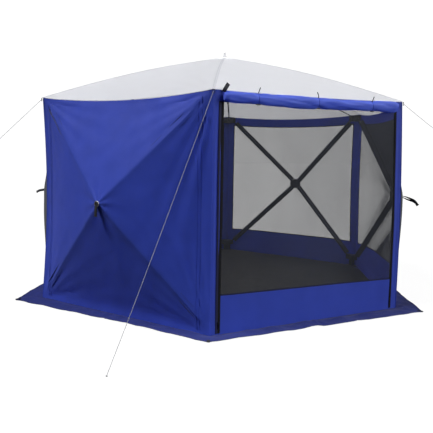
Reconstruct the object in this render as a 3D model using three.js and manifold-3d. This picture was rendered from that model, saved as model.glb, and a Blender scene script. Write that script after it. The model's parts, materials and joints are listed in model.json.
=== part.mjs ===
// Six-sided pop-up hub shelter. Millimetres, +Z up, origin on the ground at the centre of the floor.
// Corner 1 and corner 2 hold the door wall, which faces -Y. Corners are counted anticlockwise from above.
import * as THREE from 'three';
import { mergeVertices } from 'three/addons/utils/BufferGeometryUtils.js';
import { ConvexGeometry } from 'three/addons/geometries/ConvexGeometry.js';
import Module from 'manifold-3d';

const wasm = await Module();
wasm.setup();

// ---- Driving dimensions: the fabric body ----
const EAVE_RADIUS = 1800; // centre to a corner, at the eaves
const BASE_FLARE = 40; // how much further out a corner stands at the ground
const EAVE_HEIGHT = 1800;
const ROOF_RISE = 500; // eaves to peak
const ROOF_BOW = 40; // how far a ridge bows above its chord
const ROOF_OVERHANG = 10;
const WALL_BULGE = 238; // how far a wall's peak stands out of its flat plane
const CLOTH = 2; // thickness of every cloth solid
const EDGE_GAP = 3; // bare strip between two cloth edges
const CORNER_BAND = 80; // flat cloth beside each corner of a poled wall
const TOP_BAND = 55;
const BOTTOM_BAND = 110;
const WALL_HOLE = 15; // apex to each corner of the hole that a hub's stem comes through
const ROOF_HOLE = 14;
const ROOF_RINGS = 6; // bands of cloth between eave and peak

// ---- Driving dimensions: door wall, skirt and floor ----
const DOOR_BAND = 73; // corner to zip
const DOOR_HEADER = 100; // cloth above the door
const ROLL_HEIGHT = 92; // rolled-up cover under the eave
const ROLL_DEPTH = 48;
const ROLL_END_GAP = 30;
const SKIRT_REACH = 150; // beyond a wall, at its middle
const SKIRT_POINT = 240; // beyond a corner
const FLOOR_GAP = 12; // floor sheet to wall

// ---- Driving dimensions: frame ----
const POLE_RADIUS = 5.5;
const BALL_RADIUS = 9; // round end that turns in a corner hub
const BALL_SEAT = 0.7; // a ball's widest part to the round of its ends, as a share
const TIP_ROUND = 0.6; // pole radius kept at its tip, as a share
const FIT = 0.6; // running clearance around a ball
const MOUTH_FIT = 2; // clearance around a pole where it leaves a corner hub
const POLE_INSET = 35; // pole pivots behind the flat plane of their wall
const HUB_SKIN_GAP = 48; // hub centre to the cloth peak in front of it
const HUB_RADIUS = 58;
const HUB_ENTRY = 48; // hub centre to the tip of each pole
const HUB_SLOT = 20; // hub centre to the inner face of a plate
const HUB_PLATE = 5;
const HUB_CORE = 12;
const STEM_RADIUS = 8;
const BUTTON_RADIUS = 18;
const BUTTON_THICKNESS = 6;
const BUTTON_GAP = 3;
const ROOF_PIVOT_IN = 60; // roof pole pivot to the corner line
const ROOF_PIVOT_DROP = 42; // roof pole pivot below the eave
const ROOF_HUB_DROP = 85; // roof hub centre below the peak
const ROOF_HUB_RADIUS = 114;
const ROOF_HUB_ENTRY = 100;
const ROOF_SLOT_UP = 50;
const ROOF_SLOT_DOWN = 32;
const ROOF_POLE_BOW = 34;
const PEAK_NUB = 45;
const HUB_WALL_GAP = 8; // corner hub to the cloth planes
const HUB_WING = 105; // reach of a corner hub along each wall
const HUB_DEPTH = 54;
const TOP_HUB_BELOW = 24; // below the wall pole pivots
const TOP_HUB_TOP_GAP = 11; // below the eave
const FOOT_PLATE = 8;
const FOOT_HEAD_BELOW = 26; // head of a bottom hub, below and above its pivots
const FOOT_HEAD_ABOVE = 26;
const FOOT_NECK = 0.5; // neck's share of the head's outline

// ---- Driving dimensions: zips and ropes ----
const SLIDER_SIZE = [12, 22, 6];
const SLIDER_GAP = 1;
const PULL_PROUD = 1; // beyond the slider's face
const PULL_SIZE = [8, 40, 3];
const SLIDER_REST = 90; // height of a closed zip's slider
const SLIDER_TOP_GAP = 40; // slider to the rolled cover, with the zip open
const ROPE_RADIUS = 1.9;
const ROPE_STEPS = 16;
const ROPE_SIDES = 8;

// Each rope runs from its eave corner through these points, chosen by hand
const FRONT_ROPE = [
  [-914, -1584, 1785], [-964, -1607, 1684], [-1114, -1679, 1384], [-1284, -1760, 1047],
  [-1459, -1844, 706], [-1636, -1929, 364], [-1767, -1992, 118], [-1822, -2019, 14],
];
const LEFT_ROPE = [
  [-1816, 0, 1784], [-1880, 0, 1722], [-1990, 0, 1614], [-2110, 0, 1496], [-2230, 0, 1378], [-2330, 0, 1279],
];
const RIGHT_ROPE = [
  [908, -1573, 1784], [940, -1628, 1731], [1000, -1732, 1634], [1055, -1827, 1549], [1095, -1897, 1487],
];

const SIDES = 6;
const FIRST_CORNER_DEG = -120;
const WALL_NAMES = ['door', 'right', 'back_right', 'back_left', 'left', 'front'];
const DOOR_WALL = 0;
const ROUND = 8; // facets around a pole
const HUB_ROUND = 16; // facets around a hub
const BALL_ROUND = 8;
const BOW_STEPS = 6; // straight lengths along a bowed pole
const BOW_SLOPE = 4; // a parabola's slope at its end, for a rise of 1 over a span of 1

// ---- Values worked out from the driving dimensions ----
const BASE_RADIUS = EAVE_RADIUS + BASE_FLARE;
const HALF_TURN = Math.PI / SIDES;
const APOTHEM = Math.cos(HALF_TURN);
const BASE_APOTHEM = BASE_RADIUS * APOTHEM;
const WALL_SLANT = Math.hypot(EAVE_HEIGHT, BASE_FLARE * APOTHEM);
const WALL_FOOT = CLOTH + EDGE_GAP / 2; // a wall's lower edge, just above the skirt
const PEAK_HEIGHT = EAVE_HEIGHT + ROOF_RISE;
const WALL_HUB_OUT = WALL_BULGE - HUB_SKIN_GAP + POLE_INSET; // hub centre beyond its pivots' plane
const SEAT_RADIUS = (BALL_RADIUS + FIT) / Math.cos(Math.PI / BALL_ROUND) ** 2; // to the facets' corners
const ROOF_PIVOT_RADIUS = EAVE_RADIUS - ROOF_PIVOT_IN;
const ROOF_PIVOT_HEIGHT = EAVE_HEIGHT - ROOF_PIVOT_DROP;
const ROOF_HUB_RISE = PEAK_HEIGHT - ROOF_HUB_DROP - ROOF_PIVOT_HEIGHT;

const X = new THREE.Vector3(1, 0, 0);
const Z = new THREE.Vector3(0, 0, 1);
const vec = (x, y, z) => new THREE.Vector3(x, y, z);

const paint = (color, roughness, metalness) => (
  new THREE.MeshStandardMaterial({ color, roughness, metalness })
);
const BLUE_CLOTH = paint(0x2b3592, 0.7, 0);
const WHITE_CLOTH = paint(0xe4e5ec, 0.6, 0);
const MESH_CLOTH = paint(0x2a2c30, 0.9, 0);
const FLOOR_CLOTH = paint(0x353433, 0.85, 0);
const BLACK_PLASTIC = paint(0x17181b, 0.5, 0);
const POLE_GREY = paint(0x3a3b3f, 0.45, 0.1);
const ZIP_METAL = paint(0x1f2024, 0.35, 0.7);
const ROPE_WHITE = paint(0xdcdcd8, 0.8, 0);

// ---- Solids ----
function toSolid(geometry) {
  const bare = geometry.clone();
  bare.deleteAttribute('normal');
  bare.deleteAttribute('uv');
  const merged = mergeVertices(bare, 1e-3);
  const mesh = new wasm.Mesh({
    numProp: 3,
    vertProperties: new Float32Array(merged.attributes.position.array),
    triVerts: new Uint32Array(merged.index.array),
  });
  mesh.merge();
  return new wasm.Manifold(mesh);
}

function toGeometry(solid) {
  const mesh = solid.getMesh();
  const geometry = new THREE.BufferGeometry();
  geometry.setAttribute('position', new THREE.BufferAttribute(mesh.vertProperties, 3));
  geometry.setIndex(new THREE.BufferAttribute(mesh.triVerts, 1));
  return geometry;
}

// A sheet given by points and faces, made solid by moving a copy of it by back
function sheetSolid(points, faces, back) {
  const positions = [];
  points.forEach((p) => positions.push(p.x, p.y, p.z));
  points.forEach((p) => positions.push(p.x + back.x, p.y + back.y, p.z + back.z));
  const count = points.length;
  const index = [];
  const edges = new Map();
  for (const face of faces) {
    for (let i = 1; i + 1 < face.length; i += 1) {
      const [a, b, c] = [face[0], face[i], face[i + 1]];
      index.push(a, b, c, a + count, c + count, b + count);
    }
    face.forEach((a, i) => {
      const b = face[(i + 1) % face.length];
      edges.set(`${a},${b}`, [a, b]);
    });
  }
  for (const [a, b] of edges.values()) {
    if (!edges.has(`${b},${a}`)) {
      index.push(b, a, a + count, b, a + count, b + count);
    }
  }
  const geometry = new THREE.BufferGeometry();
  geometry.setAttribute('position', new THREE.Float32BufferAttribute(positions, 3));
  geometry.setIndex(index);
  return geometry;
}

function prism(outline, low, high) {
  const shape = new THREE.Shape(outline.map(([x, y]) => new THREE.Vector2(x, y)));
  const geometry = new THREE.ExtrudeGeometry(shape, { depth: high - low, bevelEnabled: false });
  geometry.translate(0, 0, low);
  return geometry;
}

function spool(profile) {
  const points = profile.map(([radius, height]) => new THREE.Vector2(radius, height));
  const geometry = new THREE.LatheGeometry(points, HUB_ROUND);
  geometry.rotateX(Math.PI / 2);
  return geometry;
}

// ---- Frames ----
const cornerAngle = (i) => THREE.MathUtils.degToRad(FIRST_CORNER_DEG + (360 / SIDES) * i);
const around = (radius, angle, z) => vec(radius * Math.cos(angle), radius * Math.sin(angle), z);

// Wall frame: x along the base from corner k to corner k + 1, y up the wall, z outwards
function wallFrame(k) {
  const baseA = around(BASE_RADIUS, cornerAngle(k), 0);
  const baseB = around(BASE_RADIUS, cornerAngle(k + 1), 0);
  const topA = around(EAVE_RADIUS, cornerAngle(k), EAVE_HEIGHT);
  const topB = around(EAVE_RADIUS, cornerAngle(k + 1), EAVE_HEIGHT);
  const foot = baseA.clone().add(baseB).multiplyScalar(0.5);
  const head = topA.clone().add(topB).multiplyScalar(0.5);
  const along = baseB.clone().sub(baseA).normalize();
  const up = head.sub(foot).normalize();
  const out = along.clone().cross(up);
  return new THREE.Matrix4().makeBasis(along, up, out).setPosition(foot);
}

// Corner frame: x outwards, y anticlockwise, z up, origin under the corner at height z
function cornerFrame(i, radius, z) {
  return new THREE.Matrix4().makeRotationZ(cornerAngle(i)).setPosition(around(radius, cornerAngle(i), z));
}

const halfWidth = (up) => (BASE_RADIUS + ((EAVE_RADIUS - BASE_RADIUS) * up) / WALL_SLANT) / 2;

// ---- The assembly ----
const shelter = new THREE.Group();
shelter.name = 'hub_shelter';

function place(name, geometry, material, frame = new THREE.Matrix4()) {
  const mesh = new THREE.Mesh(geometry, material);
  mesh.name = name;
  mesh.applyMatrix4(frame);
  shelter.add(mesh);
  return mesh;
}

// A straight or bowed pole along +Y, bowing towards +Z: its ball is at the origin, its tip at length, and
// span is the length of the bow's chord
function poleGeometry(length, span, bow) {
  const steps = bow ? BOW_STEPS : 1;
  const neck = Math.sqrt(BALL_RADIUS ** 2 - POLE_RADIUS ** 2);
  const tip = POLE_RADIUS * TIP_ROUND;
  const back = BALL_RADIUS * BALL_SEAT;
  const profile = [[0, -BALL_RADIUS], [back, -back], [BALL_RADIUS, 0], [POLE_RADIUS, neck]];
  for (let i = 1; i <= steps; i += 1) {
    profile.push([POLE_RADIUS, neck + ((length - POLE_RADIUS - neck) * i) / steps]);
  }
  profile.push([tip, length - (POLE_RADIUS - tip) / 2], [0, length]);
  const points = profile.map(([radius, y]) => new THREE.Vector2(radius, y));
  const geometry = new THREE.LatheGeometry(points, ROUND);
  const vertices = geometry.attributes.position;
  for (let i = 0; i < vertices.count; i += 1) {
    const share = Math.max(vertices.getY(i), 0) / span;
    vertices.setZ(i, vertices.getZ(i) + bow * BOW_SLOPE * share * (1 - share));
  }
  return geometry;
}

// Lays a pole from its pivot towards the hub's centre, stopping short by entry, its bow in the plane of lift
function layPole(name, pivot, centre, entry, bow, lift) {
  const along = centre.clone().sub(pivot);
  const span = along.length();
  along.normalize();
  const side = along.clone().cross(lift).normalize();
  const bowed = side.clone().cross(along);
  const frame = new THREE.Matrix4().makeBasis(side, along, bowed).setPosition(pivot);
  return place(name, poleGeometry(span - entry, span, bow), POLE_GREY, frame);
}

// The space that a pole and its ball need in a corner hub, from rest to its other limit
function poleSpace(pivot, rest, limit, reach) {
  const points = [];
  const radius = POLE_RADIUS + MOUTH_FIT;
  for (const direction of [rest, limit]) {
    const side = direction.clone().cross(Math.abs(direction.z) < Math.abs(direction.x) ? Z : X).normalize();
    const other = direction.clone().cross(side);
    for (const distance of [0, reach]) {
      for (let i = 0; i < ROUND; i += 1) {
        const turn = (2 * Math.PI * i) / ROUND;
        points.push(pivot.clone()
          .addScaledVector(direction, distance)
          .addScaledVector(side, radius * Math.cos(turn))
          .addScaledVector(other, radius * Math.sin(turn)));
      }
    }
  }
  const ball = new THREE.SphereGeometry(SEAT_RADIUS, BALL_ROUND, BALL_ROUND / 2);
  ball.translate(pivot.x, pivot.y, pivot.z);
  return toSolid(new ConvexGeometry(points)).add(toSolid(ball));
}

// Wall pivots, the rest place of the hub and the turn of each pole
function wallMechanism(k) {
  const frame = wallFrame(k);
  const low = BOTTOM_BAND;
  const high = WALL_SLANT - TOP_BAND;
  const wideLow = halfWidth(low) - CORNER_BAND;
  const wideHigh = halfWidth(high) - CORNER_BAND;
  const crossing = low + ((high - low) * wideLow) / (wideLow + wideHigh);
  const local = {
    top_left: [-wideHigh, high, high - crossing, [1, 0, 0]],
    top_right: [wideHigh, high, wideHigh, [0, -1, 0]],
    bottom_right: [wideLow, low, crossing - low, [-1, 0, 0]],
    bottom_left: [-wideLow, low, wideLow, [0, 1, 0]],
  };
  const centre = vec(0, crossing, WALL_HUB_OUT - POLE_INSET).applyMatrix4(frame);
  const pushed = vec(0, crossing, -WALL_HUB_OUT - POLE_INSET).applyMatrix4(frame);
  const out = vec(0, 0, 1).transformDirection(frame);
  const poles = Object.entries(local).map(([corner, [x, y, arm, axis]]) => ({
    corner,
    pivot: vec(x, y, -POLE_INSET).applyMatrix4(frame),
    axis: vec(...axis).transformDirection(frame),
    angle: 2 * Math.atan(WALL_HUB_OUT / arm),
  }));
  return { frame, centre, pushed, out, poles, crossing };
}

function roofMechanism(i) {
  const pivot = around(ROOF_PIVOT_RADIUS, cornerAngle(i), ROOF_PIVOT_HEIGHT);
  const along = vec(-1, 0, 0).transformDirection(wallFrame(i));
  const arm = ROOF_PIVOT_RADIUS * APOTHEM;
  return { pivot, axis: along, angle: 2 * Math.atan(ROOF_HUB_RISE / arm) };
}

const ROOF_CENTRE = vec(0, 0, ROOF_PIVOT_HEIGHT + ROOF_HUB_RISE);
const ROOF_PUSHED = vec(0, 0, ROOF_PIVOT_HEIGHT - ROOF_HUB_RISE);

// ---- Wall hubs, wall poles and wall panels ----
function wallPanel(frame, crossing) {
  const low = WALL_FOOT;
  const high = WALL_SLANT - EDGE_GAP;
  const edge = (up, band) => halfWidth(up) - band;
  const bandLow = BOTTOM_BAND;
  const bandHigh = WALL_SLANT - TOP_BAND;
  const rectangle = (lower, upper, band) => [
    vec(-edge(lower, band), lower, 0), vec(edge(lower, band), lower, 0),
    vec(edge(upper, band), upper, 0), vec(-edge(upper, band), upper, 0),
  ];
  const outer = rectangle(low, high, EDGE_GAP);
  const inner = rectangle(bandLow, bandHigh, CORNER_BAND);
  const peak = vec(0, crossing, WALL_BULGE);
  const hole = inner.map((p) => peak.clone().addScaledVector(p.clone().sub(peak).normalize(), WALL_HOLE));
  const faces = [];
  for (let i = 0; i < 4; i += 1) {
    const next = (i + 1) % 4;
    faces.push([i, next, 4 + next], [i, 4 + next, 4 + i]);
    faces.push([4 + i, 4 + next, 8 + next], [4 + i, 8 + next, 8 + i]);
  }
  return sheetSolid([...outer, ...inner, ...hole], faces, vec(0, 0, -CLOTH)).applyMatrix4(frame);
}

function wallHub(centre, out) {
  const top = HUB_SKIN_GAP + BUTTON_GAP;
  const plate = HUB_SLOT + HUB_PLATE;
  const geometry = spool([
    [0, -plate], [HUB_RADIUS, -plate], [HUB_RADIUS, -HUB_SLOT], [HUB_CORE, -HUB_SLOT],
    [HUB_CORE, HUB_SLOT], [HUB_RADIUS, HUB_SLOT], [HUB_RADIUS - HUB_PLATE, plate],
    [STEM_RADIUS, plate], [STEM_RADIUS, top], [BUTTON_RADIUS, top],
    [BUTTON_RADIUS, top + BUTTON_THICKNESS], [0, top + BUTTON_THICKNESS],
  ]);
  const turn = new THREE.Quaternion().setFromUnitVectors(Z, out);
  const frame = new THREE.Matrix4().makeRotationFromQuaternion(turn).setPosition(centre);
  return { geometry, frame };
}

for (let k = 1; k < SIDES; k += 1) {
  const wall = WALL_NAMES[k];
  const { frame, centre, out, poles, crossing } = wallMechanism(k);
  place(`wall_panel_${wall}`, wallPanel(frame, crossing), k === SIDES - 1 ? BLUE_CLOTH : MESH_CLOTH);
  const hub = wallHub(centre, out);
  const hubMesh = place(`wall_hub_${wall}`, hub.geometry, BLACK_PLASTIC, hub.frame);
  hubMesh.userData.slide = { axis: out, travel: 2 * WALL_HUB_OUT };
  for (const { corner, pivot, axis, angle } of poles) {
    const pole = layPole(`wall_pole_${wall}_${corner}`, pivot, centre, HUB_ENTRY, 0, out);
    pole.userData.hinge = { pivot, axis, angle };
  }
}

// ---- Roof hub, roof poles and canopy ----
const roofTop = ROOF_HUB_DROP + BUTTON_GAP + CLOTH;
const roofHub = place('roof_hub', spool([
  [0, -ROOF_SLOT_DOWN - HUB_PLATE], [ROOF_HUB_RADIUS, -ROOF_SLOT_DOWN - HUB_PLATE],
  [ROOF_HUB_RADIUS, -ROOF_SLOT_DOWN], [HUB_CORE, -ROOF_SLOT_DOWN], [HUB_CORE, ROOF_SLOT_UP],
  [ROOF_HUB_RADIUS, ROOF_SLOT_UP], [ROOF_HUB_RADIUS - HUB_PLATE, ROOF_SLOT_UP + HUB_PLATE],
  [STEM_RADIUS, ROOF_SLOT_UP + HUB_PLATE], [STEM_RADIUS, roofTop], [BUTTON_RADIUS, roofTop],
  [BUTTON_RADIUS, roofTop + BUTTON_THICKNESS], [STEM_RADIUS, roofTop + BUTTON_THICKNESS],
  [STEM_RADIUS, ROOF_HUB_DROP + PEAK_NUB], [0, ROOF_HUB_DROP + PEAK_NUB],
]), BLACK_PLASTIC, new THREE.Matrix4().setPosition(ROOF_CENTRE));
roofHub.userData.slide = { axis: Z, travel: 2 * ROOF_HUB_RISE };

for (let i = 0; i < SIDES; i += 1) {
  const { pivot, axis, angle } = roofMechanism(i);
  const pole = layPole(`roof_pole_${i + 1}`, pivot, ROOF_CENTRE, ROOF_HUB_ENTRY, ROOF_POLE_BOW, Z);
  pole.userData.hinge = { pivot, axis, angle };
}

function canopy() {
  const outside = EAVE_RADIUS + ROOF_OVERHANG;
  const lift = EDGE_GAP + CLOTH;
  const points = [];
  const faces = [];
  for (let ring = 0; ring <= ROOF_RINGS; ring += 1) {
    const share = ring / ROOF_RINGS;
    const radius = outside + (ROOF_HOLE - outside) * share;
    const height = EAVE_HEIGHT + lift + (ROOF_RISE - lift) * share + ROOF_BOW * Math.sin(Math.PI * share);
    for (let i = 0; i < SIDES; i += 1) {
      points.push(around(radius, cornerAngle(i), height));
      if (ring > 0) {
        const [low, high] = [(ring - 1) * SIDES, ring * SIDES];
        const next = (i + 1) % SIDES;
        faces.push([low + i, low + next, high + next], [low + i, high + next, high + i]);
      }
    }
  }
  return sheetSolid(points, faces, vec(0, 0, -CLOTH));
}
place('roof_canopy', canopy(), WHITE_CLOTH);

// ---- Corner hubs ----
// Outline in the corner frame, shrunk towards its middle by share: a wedge between the two walls
function hubOutline(share) {
  const along = [-Math.sin(HALF_TURN), Math.cos(HALF_TURN)];
  const inward = [-Math.cos(HALF_TURN), -Math.sin(HALF_TURN)];
  const at = (reach, depth) => [along[0] * reach + inward[0] * depth, along[1] * reach + inward[1] * depth];
  const front = [-HUB_WALL_GAP / APOTHEM, 0];
  const wing = at(HUB_WING, HUB_WALL_GAP);
  const back = at(HUB_WING, HUB_WALL_GAP + HUB_DEPTH);
  const outline = [front, wing, back, [back[0], -back[1]], [wing[0], -wing[1]]];
  const middle = (front[0] + back[0]) / 2;
  return outline.map(([x, y]) => [middle + (x - middle) * share, y * share]);
}

function cutFor(solid, frame, spaces) {
  const toCorner = frame.clone().invert();
  let cut = solid;
  for (const { pivot, rest, limit } of spaces) {
    const start = pivot.clone().applyMatrix4(toCorner);
    const directions = [rest, limit].map((p) => p.clone().applyMatrix4(toCorner).sub(start).normalize());
    cut = cut.subtract(poleSpace(start, directions[0], directions[1], HUB_WING));
  }
  return toGeometry(cut);
}

// The poles of the two walls that meet at corner i; the door wall has none
function wallSpaces(i, row) {
  const spaces = [];
  for (const [k, side] of [[i % SIDES, 'left'], [(i + SIDES - 1) % SIDES, 'right']]) {
    if (k !== DOOR_WALL) {
      const { poles, centre, pushed } = wallMechanism(k);
      const { pivot } = poles.find((pole) => pole.corner === `${row}_${side}`);
      spaces.push({ pivot, rest: centre, limit: pushed });
    }
  }
  return spaces;
}

// The point that a bowed pole sets out towards
const ROOF_POLE_AIM = ROOF_CENTRE.clone().addScaledVector(Z, BOW_SLOPE * ROOF_POLE_BOW);
for (let i = 0; i < SIDES; i += 1) {
  const top = cornerFrame(i, EAVE_RADIUS, 0);
  const low = EAVE_HEIGHT - TOP_BAND - TOP_HUB_BELOW;
  const head = toSolid(prism(hubOutline(1), low, EAVE_HEIGHT - TOP_HUB_TOP_GAP));
  const roofSpace = { pivot: roofMechanism(i).pivot, rest: ROOF_POLE_AIM, limit: ROOF_PUSHED };
  const topSpaces = [...wallSpaces(i, 'top'), roofSpace];
  place(`top_corner_hub_${i + 1}`, cutFor(head, top, topSpaces), BLACK_PLASTIC, top);

  const foot = cornerFrame(i, BASE_RADIUS, 0);
  const crown = BOTTOM_BAND + FOOT_HEAD_ABOVE;
  const throat = BOTTOM_BAND - FOOT_HEAD_BELOW;
  const body = toSolid(prism(hubOutline(1), 0, FOOT_PLATE))
    .add(toSolid(prism(hubOutline(FOOT_NECK), FOOT_PLATE / 2, throat + FOOT_PLATE)))
    .add(toSolid(prism(hubOutline(1), throat, crown)));
  place(`bottom_corner_hub_${i + 1}`, cutFor(body, foot, wallSpaces(i, 'bottom')), BLACK_PLASTIC, foot);
}

// ---- Door wall ----
const doorFrame = wallFrame(DOOR_WALL);
const zipLine = (up) => halfWidth(up) - DOOR_BAND;

function doorSurround() {
  const low = WALL_FOOT;
  const high = WALL_SLANT - EDGE_GAP;
  const under = WALL_SLANT - DOOR_HEADER;
  const outer = (up) => halfWidth(up) - EDGE_GAP;
  const inner = (up) => zipLine(up) + EDGE_GAP / 2;
  const half = [
    [outer(low), low], [outer(under), under], [outer(high), high], [inner(high), high],
    [inner(under), under], [inner(low), low],
  ];
  const right = half.map(([x, y]) => vec(x, y, 0));
  const left = half.map(([x, y]) => vec(-x, y, 0));
  const faces = [[0, 1, 4, 5], [1, 2, 3, 4], [11, 10, 7, 6], [10, 9, 8, 7], [4, 3, 9, 10]];
  return sheetSolid([...right, ...left], faces, vec(0, 0, -CLOTH));
}

function doorPanel() {
  const low = WALL_FOOT;
  const high = WALL_SLANT - DOOR_HEADER - EDGE_GAP;
  const edge = (up) => zipLine(up) - EDGE_GAP / 2;
  const points = [
    vec(-edge(low), low, 0), vec(edge(low), low, 0), vec(edge(high), high, 0), vec(-edge(high), high, 0),
  ];
  return sheetSolid(points, [[0, 1, 2, 3]], vec(0, 0, -CLOTH));
}

function doorRoll() {
  const length = 2 * (halfWidth(WALL_SLANT) - ROLL_END_GAP);
  const outline = new THREE.Shape();
  outline.absellipse(0, 0, ROLL_DEPTH / 2, ROLL_HEIGHT / 2, 0, 2 * Math.PI);
  const geometry = new THREE.ExtrudeGeometry(outline, {
    depth: length, bevelEnabled: false, curveSegments: 10,
  });
  geometry.translate(0, 0, -length / 2);
  geometry.rotateY(Math.PI / 2);
  geometry.translate(0, WALL_SLANT - ROLL_HEIGHT / 2 - EDGE_GAP - CLOTH, ROLL_DEPTH / 2 + EDGE_GAP);
  return geometry;
}

place('door_surround', doorSurround(), BLUE_CLOTH, doorFrame);
place('door_panel', doorPanel(), MESH_CLOTH, doorFrame);
place('door_roll', doorRoll(), BLUE_CLOTH, doorFrame);

const sliderTop = WALL_SLANT - ROLL_HEIGHT - SLIDER_TOP_GAP;
const sliderTravel = sliderTop - SLIDER_REST;
for (const [side, name] of [[-1, 'left'], [1, 'right']]) {
  const rest = vec(side * zipLine(SLIDER_REST), SLIDER_REST, 0);
  const end = vec(side * zipLine(sliderTop), sliderTop, 0);
  const axis = end.clone().sub(rest).normalize();
  const body = new THREE.BoxGeometry(...SLIDER_SIZE);
  body.translate(0, 0, SLIDER_GAP + SLIDER_SIZE[2] / 2);
  const pull = new THREE.BoxGeometry(...PULL_SIZE);
  pull.translate(0, -PULL_SIZE[1] / 2, SLIDER_GAP + SLIDER_SIZE[2] - PULL_SIZE[2] / 2 + PULL_PROUD);
  const slider = toGeometry(toSolid(body).add(toSolid(pull)));
  const at = new THREE.Matrix4().makeTranslation(rest.x, rest.y, rest.z);
  const mesh = place(`zip_slider_${name}`, slider, ZIP_METAL, doorFrame.clone().multiply(at));
  mesh.userData.slide = { axis: axis.transformDirection(doorFrame), travel: sliderTravel };
}

// ---- Skirt and floor sheet, both flat on the ground ----
function skirt() {
  const inner = BASE_RADIUS - HUB_WALL_GAP;
  const points = [];
  const faces = [];
  for (let i = 0; i < SIDES; i += 1) {
    points.push(around(inner, cornerAngle(i), CLOTH));
    points.push(around(inner * APOTHEM, cornerAngle(i) + HALF_TURN, CLOTH));
  }
  for (let i = 0; i < SIDES; i += 1) {
    points.push(around(BASE_RADIUS + SKIRT_POINT, cornerAngle(i), CLOTH));
    points.push(around(BASE_APOTHEM + SKIRT_REACH, cornerAngle(i) + HALF_TURN, CLOTH));
  }
  const count = 2 * SIDES;
  for (let i = 0; i < count; i += 1) {
    const next = (i + 1) % count;
    faces.push([i, count + i, count + next], [i, count + next, next]);
  }
  return sheetSolid(points, faces, vec(0, 0, -CLOTH));
}

function floorSheet() {
  const apothem = BASE_APOTHEM - CLOTH - FLOOR_GAP;
  const hubReach = HUB_WING * Math.sin(HALF_TURN) + (HUB_WALL_GAP + HUB_DEPTH) * APOTHEM;
  const cutOff = BASE_RADIUS - hubReach - FLOOR_GAP;
  const points = [];
  for (let i = 0; i < SIDES; i += 1) {
    const corner = cornerAngle(i);
    const halfChord = apothem / APOTHEM - cutOff;
    const reach = halfChord / Math.tan(HALF_TURN);
    for (const side of [-1, 1]) {
      points.push(vec(
        cutOff * Math.cos(corner) - side * reach * Math.sin(corner),
        cutOff * Math.sin(corner) + side * reach * Math.cos(corner),
        CLOTH,
      ));
    }
  }
  return sheetSolid(points, [points.map((_, i) => i)], vec(0, 0, -CLOTH));
}

place('ground_skirt', skirt(), BLUE_CLOTH);
place('floor_sheet', floorSheet(), FLOOR_CLOTH);

// ---- Guy ropes ----
function rope(points) {
  const path = new THREE.CatmullRomCurve3(points.map((p) => vec(...p)));
  const section = new THREE.Shape();
  for (let i = 0; i < ROPE_SIDES; i += 1) {
    const turn = (2 * Math.PI * i) / ROPE_SIDES;
    const [x, y] = [ROPE_RADIUS * Math.cos(turn), ROPE_RADIUS * Math.sin(turn)];
    if (i === 0) {
      section.moveTo(x, y);
    } else {
      section.lineTo(x, y);
    }
  }
  return new THREE.ExtrudeGeometry(section, { steps: ROPE_STEPS, extrudePath: path, bevelEnabled: false });
}

place('guy_rope_front', rope(FRONT_ROPE), ROPE_WHITE);
place('guy_rope_left', rope(LEFT_ROPE), ROPE_WHITE);
place('guy_rope_right', rope(RIGHT_ROPE), ROPE_WHITE);

export default shelter;
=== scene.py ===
"""Looks of a six-sided pop-up hub shelter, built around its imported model. Metres, +Z up.

Corner 0 and corner 1 hold the door wall, which faces -Y, and corners are counted anticlockwise from above.
Wall k and roof gore k lie between corner k and corner k + 1.
"""

import json
import math

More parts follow.
